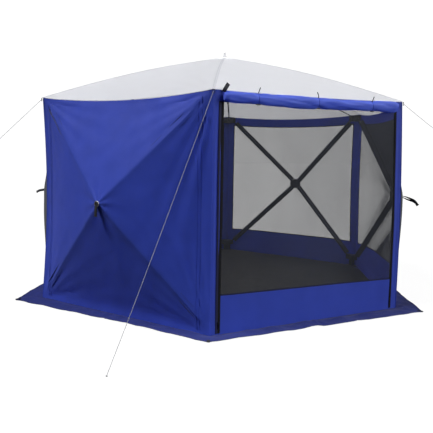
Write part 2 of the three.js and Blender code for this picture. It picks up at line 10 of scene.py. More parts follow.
import bmesh
import bpy
from mathutils import Matrix, Vector, noise
from mathutils.geometry import normal as face_normal
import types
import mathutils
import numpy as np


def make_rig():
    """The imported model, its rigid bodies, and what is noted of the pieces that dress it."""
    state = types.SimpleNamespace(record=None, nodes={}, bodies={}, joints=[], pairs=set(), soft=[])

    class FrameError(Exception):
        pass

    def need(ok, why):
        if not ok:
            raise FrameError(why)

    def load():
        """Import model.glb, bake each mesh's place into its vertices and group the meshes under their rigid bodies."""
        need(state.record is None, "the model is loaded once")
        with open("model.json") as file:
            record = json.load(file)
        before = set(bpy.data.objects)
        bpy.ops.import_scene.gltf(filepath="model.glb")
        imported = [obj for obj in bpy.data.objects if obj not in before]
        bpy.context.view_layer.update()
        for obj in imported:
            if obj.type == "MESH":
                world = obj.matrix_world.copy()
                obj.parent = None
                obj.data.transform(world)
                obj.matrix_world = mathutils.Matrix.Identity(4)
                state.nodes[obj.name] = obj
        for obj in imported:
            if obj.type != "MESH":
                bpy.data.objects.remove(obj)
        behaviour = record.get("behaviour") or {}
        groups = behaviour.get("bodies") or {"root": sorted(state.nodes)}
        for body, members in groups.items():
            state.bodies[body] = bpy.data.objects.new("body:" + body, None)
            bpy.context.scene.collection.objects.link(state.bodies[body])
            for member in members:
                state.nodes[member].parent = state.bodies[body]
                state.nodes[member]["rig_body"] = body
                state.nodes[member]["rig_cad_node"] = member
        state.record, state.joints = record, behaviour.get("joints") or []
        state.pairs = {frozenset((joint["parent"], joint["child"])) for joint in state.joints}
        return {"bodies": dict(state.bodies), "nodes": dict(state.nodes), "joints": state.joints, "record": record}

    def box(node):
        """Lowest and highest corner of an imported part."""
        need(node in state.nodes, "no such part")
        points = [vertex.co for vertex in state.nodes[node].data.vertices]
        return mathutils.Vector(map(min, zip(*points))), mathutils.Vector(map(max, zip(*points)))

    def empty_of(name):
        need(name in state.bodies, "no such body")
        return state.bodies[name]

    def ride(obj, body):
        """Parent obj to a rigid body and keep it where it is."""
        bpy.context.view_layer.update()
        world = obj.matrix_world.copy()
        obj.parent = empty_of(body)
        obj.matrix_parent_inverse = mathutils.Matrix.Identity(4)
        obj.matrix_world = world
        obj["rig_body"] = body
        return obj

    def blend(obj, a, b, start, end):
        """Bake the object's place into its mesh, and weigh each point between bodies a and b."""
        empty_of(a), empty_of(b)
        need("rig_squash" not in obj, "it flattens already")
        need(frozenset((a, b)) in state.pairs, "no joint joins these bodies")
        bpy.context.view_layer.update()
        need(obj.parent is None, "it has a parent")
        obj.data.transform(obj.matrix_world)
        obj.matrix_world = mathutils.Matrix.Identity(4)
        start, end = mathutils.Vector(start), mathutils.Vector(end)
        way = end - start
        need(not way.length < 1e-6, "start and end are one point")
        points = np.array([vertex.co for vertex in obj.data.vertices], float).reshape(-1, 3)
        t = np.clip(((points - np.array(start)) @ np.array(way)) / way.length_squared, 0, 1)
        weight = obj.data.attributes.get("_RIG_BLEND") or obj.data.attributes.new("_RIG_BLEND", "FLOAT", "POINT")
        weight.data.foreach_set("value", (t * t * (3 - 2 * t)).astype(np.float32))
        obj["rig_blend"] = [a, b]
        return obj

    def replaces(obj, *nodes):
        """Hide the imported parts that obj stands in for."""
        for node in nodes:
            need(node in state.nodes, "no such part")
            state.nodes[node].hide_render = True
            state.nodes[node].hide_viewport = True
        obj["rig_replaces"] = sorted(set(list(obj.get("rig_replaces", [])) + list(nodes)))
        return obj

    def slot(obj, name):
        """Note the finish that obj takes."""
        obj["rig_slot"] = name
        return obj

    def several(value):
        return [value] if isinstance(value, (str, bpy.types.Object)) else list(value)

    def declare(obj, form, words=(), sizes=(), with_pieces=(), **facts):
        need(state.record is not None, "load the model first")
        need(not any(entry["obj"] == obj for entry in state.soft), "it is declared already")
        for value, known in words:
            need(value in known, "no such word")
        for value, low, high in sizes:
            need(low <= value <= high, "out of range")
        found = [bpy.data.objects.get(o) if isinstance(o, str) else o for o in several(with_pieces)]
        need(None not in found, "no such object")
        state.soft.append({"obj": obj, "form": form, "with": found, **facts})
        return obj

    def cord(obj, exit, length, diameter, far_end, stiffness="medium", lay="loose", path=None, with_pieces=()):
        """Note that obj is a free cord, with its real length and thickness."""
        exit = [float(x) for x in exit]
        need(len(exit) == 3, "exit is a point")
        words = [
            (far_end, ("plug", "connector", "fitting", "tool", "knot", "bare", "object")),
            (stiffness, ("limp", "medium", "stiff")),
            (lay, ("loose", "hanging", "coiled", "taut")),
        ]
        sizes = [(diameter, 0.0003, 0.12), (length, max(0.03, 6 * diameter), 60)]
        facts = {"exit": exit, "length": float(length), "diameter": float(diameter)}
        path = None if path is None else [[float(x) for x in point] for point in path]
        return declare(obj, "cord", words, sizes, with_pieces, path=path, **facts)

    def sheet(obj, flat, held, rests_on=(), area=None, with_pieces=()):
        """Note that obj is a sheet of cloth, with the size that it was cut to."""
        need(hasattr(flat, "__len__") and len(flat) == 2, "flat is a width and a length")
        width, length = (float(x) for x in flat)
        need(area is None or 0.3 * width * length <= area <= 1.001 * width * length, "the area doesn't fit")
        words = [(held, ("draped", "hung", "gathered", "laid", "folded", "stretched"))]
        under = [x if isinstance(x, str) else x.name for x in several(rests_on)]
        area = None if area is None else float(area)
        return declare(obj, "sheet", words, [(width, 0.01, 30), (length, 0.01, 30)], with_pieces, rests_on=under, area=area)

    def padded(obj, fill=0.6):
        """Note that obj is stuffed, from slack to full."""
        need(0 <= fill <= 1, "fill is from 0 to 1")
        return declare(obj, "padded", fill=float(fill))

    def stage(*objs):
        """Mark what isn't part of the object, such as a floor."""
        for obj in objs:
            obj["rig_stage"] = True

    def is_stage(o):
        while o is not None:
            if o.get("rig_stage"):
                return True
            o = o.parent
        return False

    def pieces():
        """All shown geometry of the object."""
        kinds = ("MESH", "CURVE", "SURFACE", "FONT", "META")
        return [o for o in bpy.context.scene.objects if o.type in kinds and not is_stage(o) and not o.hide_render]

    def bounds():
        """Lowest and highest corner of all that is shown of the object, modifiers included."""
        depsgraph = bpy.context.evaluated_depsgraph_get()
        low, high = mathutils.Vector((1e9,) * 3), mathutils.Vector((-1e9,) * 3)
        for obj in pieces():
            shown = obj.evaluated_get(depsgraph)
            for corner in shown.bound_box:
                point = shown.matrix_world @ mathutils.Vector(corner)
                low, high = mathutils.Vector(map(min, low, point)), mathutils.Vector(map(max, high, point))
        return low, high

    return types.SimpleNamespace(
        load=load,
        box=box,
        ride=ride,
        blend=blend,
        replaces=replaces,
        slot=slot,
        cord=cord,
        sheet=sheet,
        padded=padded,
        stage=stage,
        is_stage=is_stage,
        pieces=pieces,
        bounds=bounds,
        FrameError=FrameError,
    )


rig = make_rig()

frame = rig.load()
CAD_BOX = [list(corner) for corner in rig.bounds()]

# ---- The frame's own sizes ----
SIDES = 6
WALL_NAMES = ("door", "right", "back_right", "back_left", "left", "front")
DOOR, FRONT = 0, 5
EDGE_GAP = 0.003
ROOF_OVERHANG = 0.010
ROOF_PIVOT_IN = 0.060
HUB_SKIN_GAP = 0.048  # from a wall hub's centre out to the cloth's peak
canopy_low, canopy_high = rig.box("roof_canopy")
EAVE_RADIUS = canopy_high.x - ROOF_OVERHANG
EAVE_HEIGHT = canopy_low.z - EDGE_GAP
PEAK_HEIGHT = canopy_high.z
BASE_RADIUS = 2 * (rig.box("wall_panel_back_left")[1].x + EDGE_GAP)
APOTHEM = math.cos(math.pi / SIDES)
SLANT = math.hypot(EAVE_HEIGHT, (BASE_RADIUS - EAVE_RADIUS) * APOTHEM)
JOINTS = {joint["name"]: joint for joint in frame["joints"]}

# ---- Cloth sizes ----
CLOTH = 0.0012
STRIP = 0.068  # blue cloth beside each corner of a screen wall
TOP_STRIP = 0.100
SILL = 0.280
BINDING = 0.011
DOOR_STRIP = 0.073
DOOR_HEADER = 0.082  # hidden behind the rolled cover
DOOR_SILL_LEFT, DOOR_SILL_RIGHT = 0.295, 0.268
ZIP_WIDTH = 0.024
FOLD_BLEND = 0.10  # cloth that bends beside a fold
EAVE_SAG = {"door": 0.010, "front": 0.050}
OTHER_SAG = 0.045
CORNER_PULL = 0.022
CORNER_PULLS = {1: -0.014, 5: 0.036}  # corners that are drawn in more, or pushed out
CORNER_REACH = 0.22
FOLD_REACH = 0.07  # how far beyond a fold line the slope of the cloth runs out, as a share
BILLOW = {"right": 0.042, "left": 0.038, "front": 0.004}  # cloth between two poles
OTHER_BILLOW = 0.012
ROOF_DIP = 0.022  # cloth that sinks between two ridges
ROOF_BOW = 0.040  # the rise of a bent roof pole

# ---- Ropes, from their eave corners to the ground or to their pegs ----
ROPE_RADIUS = 0.0019
CORD_RADIUS = 0.0018  # of the thin ties and rings
FRONT_ROPE = [
    (-0.914, -1.584, 1.785), (-0.964, -1.607, 1.684), (-1.114, -1.679, 1.384), (-1.284, -1.760, 1.047),
    (-1.459, -1.844, 0.706), (-1.636, -1.929, 0.364), (-1.767, -1.992, 0.118), (-1.822, -2.019, 0.014),
]
LEFT_ROPE = [
    (-1.816, 0, 1.784), (-1.880, 0, 1.722), (-1.990, 0, 1.614),
    (-2.110, 0, 1.496), (-2.230, 0, 1.378), (-2.330, 0, 1.279),
]
RIGHT_ROPE = [
    (0.908, -1.573, 1.784), (0.940, -1.628, 1.731), (1.000, -1.732, 1.634),
    (1.055, -1.827, 1.549), (1.095, -1.897, 1.487),
]

# ---- Camera ----
EYE = Vector((-2.7255, -5.2088, 1.3896))
HEADING_DEG, PITCH_DEG, ROLL_DEG = 27.06, -6.96, 0.92
LENS, SENSOR = 46.85, 36.0


def make_camera():
    heading, pitch, roll = (math.radians(a) for a in (HEADING_DEG, PITCH_DEG, ROLL_DEG))
    forward = Vector((
        math.sin(heading) * math.cos(pitch),
        math.cos(heading) * math.cos(pitch),
        math.sin(pitch),
    ))
    right = Vector((math.cos(heading), -math.sin(heading), 0))
    up = right.cross(forward)
    x = right * math.cos(roll) + up * math.sin(roll)
    y = up * math.cos(roll) - right * math.sin(roll)
    camera = bpy.data.objects.new("camera", bpy.data.cameras.new("camera"))
    camera.data.lens = LENS
    camera.data.sensor_width = SENSOR
    turn = Matrix((x, y, -forward)).transposed().to_4x4()
    camera.matrix_world = Matrix.Translation(EYE) @ turn
    bpy.context.scene.collection.objects.link(camera)
    bpy.context.scene.camera = camera


make_camera()


# ---- Small sums ----
UP = Vector((0, 0, 1))


def mix(a, b, t):
    return a + (b - a) * t


def clamp(t):
    return min(max(t, 0.0), 1.0)


def ease(t):
    t = clamp(t)
    return t * t * (3 - 2 * t)


def arch(s):
    """0 at both ends and 1 in the middle."""
    return 4 * s * (1 - s)


def above_zero(t, soft):
    return (t + math.sqrt(t * t + soft * soft)) / 2


def least(values, soft):
    """The smallest value, rounded off where two are nearly the same."""
    low = values[0]
    for value in values[1:]:
        near = max(soft - abs(low - value), 0) / soft
        low = min(low, value) - near * near * soft / 4
    return low


def shade(colour, factor):
    return tuple(c * factor for c in colour)


def corner_angle(i):
    return math.radians(-120 + 360 / SIDES * i)


def around(radius, angle, z=0.0):
    return Vector((radius * math.cos(angle), radius * math.sin(angle), z))


def ripple(x, y, size, seed):
    """Smooth noise from -1 to 1 whose bumps are about size apart."""
    return noise.noise(Vector((x / size, y / size, seed * 7.31)))


def pulled_in(point):
    """Draws the cloth in along the corners, which have no poles."""
    radius = math.hypot(point.x, point.y)
    height = clamp(point.z / EAVE_HEIGHT)
    turn = math.atan2(point.y, point.x) / (2 * math.pi / SIDES)
    off = abs(turn - round(turn)) * 2 * math.pi / SIDES * radius
    most = CORNER_PULLS.get((round(turn) + 2) % SIDES, CORNER_PULL)
    pull = most * math.sin(math.pi * height) * math.exp(-((off / CORNER_REACH) ** 2))
    return Vector((point.x * (1 - pull / radius), point.y * (1 - pull / radius), point.z))


# ---- Materials ----
class Shader:
    """A material's node tree, with short ways to add to it."""

    def __init__(self, name, colour, roughness, metallic=0.0):
        self.colour = colour
        self.material = bpy.data.materials.new(name)
        self.material.use_nodes = True
        self.material.diffuse_color = (*colour, 1)
        self.tree = self.material.node_tree
        self.tree.nodes.clear()
        self.output = self.tree.nodes.new("ShaderNodeOutputMaterial")
        self.surface = self.tree.nodes.new("ShaderNodeBsdfPrincipled")
        self.put(self.output.inputs["Surface"], self.surface.outputs[0])
        self.set(Base_Color=(*colour, 1), Roughness=roughness, Metallic=metallic)

    def put(self, socket, value):
        """Links a socket to its source, or sets it to a value."""
        if isinstance(value, bpy.types.NodeSocket):
            self.tree.links.new(value, socket)
        else:
            socket.default_value = value

    def add(self, kind, inputs=None, **settings):
        made = self.tree.nodes.new("ShaderNode" + kind)
        for key, value in settings.items():
            setattr(made, key, value)
        for key, value in (inputs or {}).items():
            self.put(made.inputs[key], value)
        return made

    def place(self):
        return self.add("TexCoord").outputs["Object"]

    def flat(self):
        return self.add("TexCoord").outputs["UV"]

    def noise(self, where, scale, detail=3.0, roughness=0.55, stretch=None):
        if stretch:
            where = self.add("Mapping", {"Vector": where, "Scale": stretch}).outputs[0]
        inputs = {"Vector": where, "Scale": scale, "Detail": detail, "Roughness": roughness}
        return self.add("TexNoise", inputs).outputs["Fac"]

    def ramp(self, value, low, high, start=0.3, end=0.7):
        made = self.add("ValToRGB", {"Fac": value})
        for element, position, colour in zip(made.color_ramp.elements, (start, end), (low, high)):
            element.position = position
            element.color = (*colour, 1)
        return made.outputs["Color"]

    def between(self, value, low, high):
        return self.add("MapRange", {"Value": value, "To Min": low, "To Max": high}).outputs[0]

    def maths(self, operation, a, b):
        return self.add("Math", {0: a, 1: b}, operation=operation).outputs[0]

    def bands(self, where, direction, pitch):
        """A wave across the flat cloth, one thread per pitch."""
        waves = {"Vector": where, "Scale": math.pi / 10 / pitch}
        return self.add("TexWave", waves, bands_direction=direction).outputs["Fac"]

    def weave(self, pitch):
        where = self.flat()
        return self.maths("MULTIPLY", self.bands(where, "X", pitch), self.bands(where, "Y", pitch))

    def bumps(self, *layers):
        """Each layer is a height, its depth in metres and its strength."""
        normal = None
        for height, depth, strength in layers:
            inputs = {"Height": height, "Distance": depth, "Strength": strength}
            if normal:
                inputs["Normal"] = normal
            normal = self.add("Bump", inputs).outputs[0]
        self.set(Normal=normal)

    def tint(self, value, low, high):
        """Varies the base colour from low to high times itself."""
        self.set(Base_Color=self.ramp(value, shade(self.colour, low), shade(self.colour, high)))

    def mix_in(self, share, light):
        """Mixes another shader into the surface: share of it, from 0 to 1."""
        both = self.add("MixShader", {"Fac": share, 1: self.surface.outputs[0], 2: light.outputs[0]})
        self.put(self.output.inputs["Surface"], both.outputs[0])

    def set(self, **values):
        for key, value in values.items():
            self.put(self.surface.inputs[key.replace("_", " ")], value)


def woven_cloth(name, colour, roughness=0.52, pitch=0.0016, sheen=0.06, creases=0.22, spread=0.07):
    """Coated polyester: a fine weave, soft handling creases and a faint unevenness of colour."""
    shader = Shader(name, colour, roughness)
    place = shader.place()
    shader.tint(shader.noise(place, 5.0, 5.0), 1 - spread, 1 + spread)
    fine = shader.noise(place, 60.0, 3.0)
    shader.set(Roughness=shader.between(fine, roughness - 0.07, roughness + 0.09))
    shader.set(Sheen_Weight=sheen, Sheen_Roughness=0.45, Specular_IOR_Level=0.22)
    crease = shader.noise(place, 7.0, 6.0, 0.6)
    shader.bumps((crease, 0.012, creases), (fine, 0.0012, 0.25), (shader.weave(pitch), 0.0004, 0.5))
    return shader


# How much of the light comes through, and the colours of the blue cloth's face and of its glow.
BLUE_FACE, BLUE_GLOW, BLUE_SHARE = 1.25, 2.7, 0.24
ROOF_SHARE = 0.66


def through_light(shader, colour, share):
    """Thin cloth: part of the light that falls on its back comes through."""
    glow = shader.add("BsdfTranslucent", {"Color": (*colour, 1)})
    shader.mix_in(share, glow)
    return shader.material


def make_blue(name="blue_cloth", colour=(0.030, 0.058, 0.375)):
    shader = woven_cloth(name, shade(colour, BLUE_FACE), sheen=0.12)
    return through_light(shader, shade(colour, BLUE_GLOW), BLUE_SHARE)


def make_roof_cloth(name, colour, glow):
    """White roof cloth, which lets much of the daylight into the shelter."""
    shader = woven_cloth(name, colour, roughness=0.6, sheen=0.0, creases=0.2, spread=0.02)
    return through_light(shader, glow, ROOF_SHARE)


SCREEN_PITCH = 0.0030
SCREEN_THREAD = 0.27  # the width of the screen's threads, as a share of their pitch


def make_screen():
    """Insect screen: mostly open, and closing up where it is seen at a slant, as threads do."""
    shader = Shader("screen_cloth", (0.044, 0.049, 0.062), 0.75)
    streaks = shader.noise(shader.place(), 2.2, 4.0, stretch=(1.0, 1.0, 0.35))
    shader.tint(streaks, 0.85, 1.2)
    slant = shader.add("LayerWeight", {"Blend": 0.5}).outputs["Facing"]
    towards = shader.maths("MAXIMUM", shader.maths("SUBTRACT", 1.0, slant), SCREEN_THREAD)
    gaps = shader.maths("SUBTRACT", 1.0, shader.maths("DIVIDE", SCREEN_THREAD, towards))
    opening = shader.maths("MULTIPLY", 1.0 - SCREEN_THREAD, gaps)
    closed = shader.maths("SUBTRACT", 1.0, shader.maths("POWER", opening, 0.5))  # for each face of the cloth
    threads = shader.between(shader.weave(SCREEN_PITCH), -0.02, 0.06)
    uneven = shader.between(streaks, -0.05, 0.05)
    shader.set(Alpha=shader.maths("ADD", shader.maths("ADD", closed, threads), uneven))
    shader.set(Specular_IOR_Level=0.2, Sheen_Weight=0.1)
    shader.bumps((streaks, 0.010, 0.3), (shader.weave(SCREEN_PITCH), 0.0008, 0.5))
    return shader.material


def make_webbing():
    """Black strap: ribs across it and a slight gloss."""
    shader = Shader("webbing", (0.009, 0.010, 0.017), 0.55)
    dust = shader.noise(shader.place(), 40.0, 4.0)
    shader.tint(dust, 0.8, 1.7)
    shader.set(Roughness=shader.between(dust, 0.45, 0.7), Sheen_Weight=0.05, Specular_IOR_Level=0.3)
    ribs = shader.bands(shader.flat(), "X", 0.0022)
    shader.bumps((ribs, 0.0006, 0.6), (shader.weave(0.0009), 0.0003, 0.4), (dust, 0.0006, 0.2))
    return shader.material


def make_floor_cloth():
    """Laminated floor sheet: grey-brown, with a flattened weave and dull scuffs."""
    shader = Shader("floor_cloth", (0.036, 0.034, 0.031), 0.7)
    place = shader.place()
    scuffs = shader.noise(place, 1.7, 8.0, 0.62)
    shader.tint(scuffs, 0.75, 1.35)
    shader.set(Roughness=shader.between(scuffs, 0.6, 0.85))
    folds = shader.noise(place, 3.5, 5.0, stretch=(1.0, 0.5, 1.0))
    shader.bumps((folds, 0.020, 0.45), (shader.weave(0.004), 0.0005, 0.4))
    return shader.material


def make_plastic():
    """Moulded nylon: black, faintly pebbled, duller where it is scuffed."""
    shader = Shader("moulded_plastic", (0.014, 0.014, 0.016), 0.45)
    place = shader.place()
    wear = shader.noise(place, 25.0, 5.0)
    shader.tint(wear, 0.8, 1.6)
    shader.set(Roughness=shader.between(wear, 0.35, 0.6))
    shader.bumps((shader.noise(place, 900.0, 2.0), 0.0004, 0.35), (wear, 0.001, 0.15))
    return shader.material


def make_pole():
    """Pultruded fibreglass: dark grey with fibres along it."""
    shader = Shader("pole_fibre", (0.030, 0.031, 0.034), 0.38)
    place = shader.place()
    fibres = shader.noise(place, 160.0, 4.0)
    shader.tint(fibres, 0.7, 1.5)
    smears = shader.noise(place, 9.0, 4.0)
    shader.set(Roughness=shader.between(smears, 0.28, 0.5), Coat_Weight=0.25)
    shader.bumps((fibres, 0.0004, 0.3))
    return shader.material


def make_metal(name, colour, roughness):
    """Plated metal with a fine haze of handling marks."""
    shader = Shader(name, colour, roughness, 1.0)
    place = shader.place()
    haze = shader.noise(place, 120.0, 5.0)
    shader.tint(haze, 0.8, 1.1)
    shader.set(Roughness=shader.between(haze, roughness - 0.08, roughness + 0.15))
    shader.bumps((shader.noise(place, 700.0, 2.0), 0.0002, 0.2))
    return shader.material


def make_rope():
    """White braid with dark flecks that wind round it."""
    colour = (0.42, 0.43, 0.46)
    shader = Shader("rope_braid", colour, 0.8)
    wound = shader.add("Mapping", {"Vector": shader.flat(), "Rotation": (0, 0, 0.5)}).outputs[0]
    flecks = shader.bands(wound, "X", 0.012)
    shader.set(Base_Color=shader.ramp(flecks, colour, (0.05, 0.05, 0.06), 0.45, 0.65))
    shader.set(Sheen_Weight=0.1)
    fuzz = shader.noise(shader.place(), 1500.0, 2.0)
    shader.bumps((fuzz, 0.0004, 0.5))
    return shader.material


def make_zip():
    """Zip tape: black, with the coil's teeth along its middle."""
    shader = Shader("zip_tape", (0.004, 0.004, 0.006), 0.7)
    shader.set(Specular_IOR_Level=0.12)
    teeth = shader.bands(shader.flat(), "Y", 0.0030)
    shader.set(Base_Color=shader.ramp(teeth, (0.003, 0.003, 0.005), (0.012, 0.012, 0.016)))
    shader.bumps((teeth, 0.0012, 0.6), (shader.weave(0.0008), 0.0003, 0.4))
    return shader.material


BLUE = make_blue()
# The rolled cover's cloth is a lighter copy of the blue cloth: painted light, which brightens the roll whose round
# face turns away from the lamps.
ROLL_LIT_BLUE = make_blue("rolled_cloth", (0.060, 0.106, 0.49))
# The skirt's cloth is a darker copy of the blue cloth: painted shade, which keeps the flat skirt dark though the lamps
# light it from above.
SKIRT = make_blue("skirt_cloth", (0.014, 0.022, 0.135))
WHITE = make_roof_cloth("white_cloth", (0.92, 0.93, 0.96), (0.97, 0.97, 0.98))
# Tape lies doubled on the roof and throws back more light, so a darker white keeps it as bright as the roof.
SEAM_TAPE = make_roof_cloth("seam_tape", (0.78, 0.79, 0.82), (0.84, 0.84, 0.86))
CAP = woven_cloth("peak_cloth", (0.74, 0.75, 0.78), roughness=0.6, creases=0.1, spread=0.02).material
SCREEN = make_screen()
WEBBING = make_webbing()
DARK = woven_cloth("dark_binding", (0.010, 0.012, 0.050), 0.6, 0.0012, 0.05, 0.2).material
FLOOR = make_floor_cloth()
PLASTIC = make_plastic()
POLE = make_pole()
SILVER = make_metal("zinc_ring", (0.62, 0.62, 0.60), 0.32)
BLACK_METAL = make_metal("black_metal", (0.05, 0.05, 0.055), 0.35)
ROPE = make_rope()
ZIP = make_zip()


# ---- Mesh building ----
SHARP_EDGE = math.radians(55)
BEND_STEP = 0.004  # between the points of a strap's bend
STRAND_GROOVE = 0.16  # the depth of the grooves between a rope's strands, as a share of its radius
RIBBON_SECTION = ((-1, 0.25), (-0.8, 1), (0.8, 1), (1, 0.25), (0.8, -0.5), (-0.8, -0.5))


def link_object(name, mesh):
    made = bpy.data.objects.new(name, mesh)
    bpy.context.scene.collection.objects.link(made)
    return made


def fit(piece, body, slot):
    """Makes a piece ride on a body and take its finish from a slot."""
    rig.ride(piece, body)
    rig.slot(piece, slot)


def backed(points, faces, flat, picks, thickness):
    """Gives a cloth its back, one thickness behind it, and closes its rim."""
    count = len(points)
    normals = [Vector() for _ in points]
    owners = {}
    for f, ring in enumerate(faces):
        normal = face_normal([points[v] for v in ring])
        for i, v in enumerate(ring):
            normals[v] += normal
            owners[v, ring[(i + 1) % len(ring)]] = f
    back = [p - n.normalized() * thickness for p, n in zip(points, normals)]
    rim = [edge for edge in owners if edge[::-1] not in owners]
    closed = [tuple(v + count for v in reversed(ring)) for ring in faces]
    closed += [(b, a, a + count, b + count) for a, b in rim]
    if picks:
        picks = picks + picks + [picks[owners[edge]] for edge in rim]
    return [*points, *back], [*faces, *closed], [*flat, *flat], picks


def mesh_object(name, points, faces, flat, materials, picks=None, thickness=0.0):
    """A smooth mesh. flat gives each point's place on the cut cloth, which drives the weave."""
    if thickness:
        points, faces, flat, picks = backed(points, faces, flat, picks, thickness)
    mesh = bpy.data.meshes.new(name)
    mesh.from_pydata([tuple(p) for p in points], [], faces)
    for material in materials:
        mesh.materials.append(material)
    layer = mesh.uv_layers.new(name="Cloth")
    for loop in mesh.loops:
        layer.data[loop.index].uv = flat[loop.vertex_index]
    for i, polygon in enumerate(mesh.polygons):
        polygon.use_smooth = True
        if picks:
            polygon.material_index = picks[i]
    mesh.validate()
    mesh.set_sharp_from_angle(angle=SHARP_EDGE)
    return link_object(name, mesh)


def grid(columns, rows, at):
    """Points and faces of a net: at(s, t) gives a point for s and t from 0 to 1."""
    points = [at(i / columns, j / rows) for j in range(rows + 1) for i in range(columns + 1)]
    faces = []
    for j in range(rows):
        for i in range(columns):
            low = j * (columns + 1) + i
            faces.append((low, low + 1, low + columns + 2, low + columns + 1))
    return points, faces


def nets(*parts):
    """Spots and faces of several nets, each given by its columns, rows, place and whether it faces down."""
    spots, faces = [], []
    for columns, rows, place, over in parts:
        first = len(spots)
        points, quads = grid(columns, rows, place)
        spots += [tuple(p) for p in points]
        faces += [tuple(first + i for i in (quad[::-1] if over else quad)) for quad in quads]
    return spots, faces


def turned(faces):
    """The same faces, seen from their other side."""
    return [face[:1] + face[:0:-1] for face in faces]


def round_faces(rings, turns, closed=False, ends=False):
    """Faces that join rings of turns points each into a tube, with both its ends filled in when asked."""
    faces = []
    for i in range(rings if closed else rings - 1):
        low, high = i * turns, (i + 1) % rings * turns
        for j in range(turns):
            k = (j + 1) % turns
            faces.append((low + j, low + k, high + k, high + j))
    if ends:
        faces.append(tuple(reversed(range(turns))))
        faces.append(tuple(range((rings - 1) * turns, rings * turns)))
    return faces


def turns_of(count):
    """Angles round a full turn."""
    return [2 * math.pi * k / count for k in range(count)]


def ring_of(centre, side, up, count):
    """Points round an ellipse whose half axes are side and up."""
    return [centre + side * math.cos(turn) + up * math.sin(turn) for turn in turns_of(count)]


def stations(path, closed=False):
    """Each point of a path with the path's direction there and the length so far."""
    last = len(path) - 1
    travelled = 0.0
    for i, point in enumerate(path):
        before = path[i - 1] if i or closed else point
        after = path[(i + 1) % (last + 1)] if i < last or closed else point
        if i:
            travelled += (point - path[i - 1]).length
        yield point, (after - before).normalized(), travelled


def net(name, columns, rows, at, flat, materials, thickness=0.0, picks=None):
    points, faces = grid(columns, rows, at)
    spots = grid(columns, rows, flat)[0]
    return mesh_object(name, points, faces, spots, materials, picks, thickness)


def tube(name, path, radius, material, sides=8, twist=0.0, lobes=0, closed=False):
    """A round tube along path. With lobes it is a twisted rope of that many strands."""
    points, flat = [], []
    side = None
    for point, along, travelled in stations(path, closed):
        if side is None:
            side = along.orthogonal().normalized()
        side = (side - along * side.dot(along)).normalized()
        other = along.cross(side)
        for j, turn in enumerate(turns_of(sides)):
            groove = abs(math.sin(lobes / 2 * (turn - twist * travelled))) if lobes else 0.0
            spoke = side * math.cos(turn) + other * math.sin(turn)
            points.append(point + spoke * radius * (1 - STRAND_GROOVE * groove))
            flat.append((travelled, j / sides * 2 * math.pi * radius))
    faces = round_faces(len(path), sides, closed, ends=not closed)
    return mesh_object(name, points, faces, flat, [material])


def smooth_path(points, step):
    """A smooth curve through the points, as a Catmull-Rom spline, with points about step apart."""
    knots = [Vector(p) for p in points]
    ends = [2 * knots[0] - knots[1], *knots, 2 * knots[-1] - knots[-2]]
    path = []
    for i in range(1, len(ends) - 2):
        a, b, c, d = ends[i - 1 : i + 3]
        pieces = max(2, math.ceil((c - b).length / step))
        for j in range(pieces):
            t = j / pieces
            path.append(0.5 * (2 * b + (c - a) * t + (2 * a - 5 * b + 4 * c - d) * t * t
                               + (3 * b - a - 3 * c + d) * t ** 3))
    path.append(knots[-1])
    return path


def ribbon(name, path, normals, width, thickness, material):
    """A flat strap along path, facing along normals."""
    points, flat = [], []
    for (point, along, travelled), normal in zip(stations(path), normals):
        across = along.cross(normal).normalized()
        up = across.cross(along)
        for side, lift in RIBBON_SECTION:
            points.append(point + across * side * width / 2 + up * lift * thickness)
            flat.append((travelled, side * width / 2))
    faces = round_faces(len(path), len(RIBBON_SECTION), ends=True)
    return mesh_object(name, points, faces, flat, [material])


def fading(fold, reach):
    """A fold's height at a reach: it swells from its start and dies away."""
    height, length, start = fold
    return height * math.exp(-reach / length) * ease(reach / start)


def cut_along(mesh, x, y, dx, dy):
    """Splits the flat mesh along the line through (x, y) in the direction (dx, dy)."""
    everything = mesh.verts[:] + mesh.edges[:] + mesh.faces[:]
    bmesh.ops.bisect_plane(mesh, geom=everything, dist=1e-6, plane_co=(x, y, 0), plane_no=(-dy, dx, 0))


def cut_cloth(name, spots, faces, cuts, lift, pick, materials, thickness):
    """Cloth cut flat from spots and faces, split along cuts, then lifted to its shape."""
    mesh = bmesh.new()
    corners = [mesh.verts.new((x, y, 0)) for x, y in spots]
    for face in faces:
        mesh.faces.new([corners[i] for i in face])
    bmesh.ops.remove_doubles(mesh, verts=mesh.verts[:], dist=1e-6)
    for cut in cuts:
        cut_along(mesh, *cut)
    mesh.verts.index_update()
    flat = [(v.co.x, v.co.y) for v in mesh.verts]
    rings = [[v.index for v in face.verts] for face in mesh.faces]
    picks = []
    for face in mesh.faces:
        middle = face.calc_center_median()
        picks.append(pick(middle.x, middle.y))
    mesh.free()
    points = [lift(x, y) for x, y in flat]
    return mesh_object(name, points, rings, flat, materials, picks, thickness)


# ---- Walls ----
# The height, length and start of the folds in a wall's cloth.
CORNER_FAN = (0.0075, 0.36, 0.10)
LONG_FOLDS = (0.011, 0.75, 0.15)  # beside the solid wall's right edge
LONG_FOLD_SLOPE, LONG_FOLD_SPREAD = 0.25, 0.22
HUB_FOLDS = (0.0030, 0.12, 0.06)
SCREEN_FOLDS = 0.55  # how strong the folds are in a screen wall


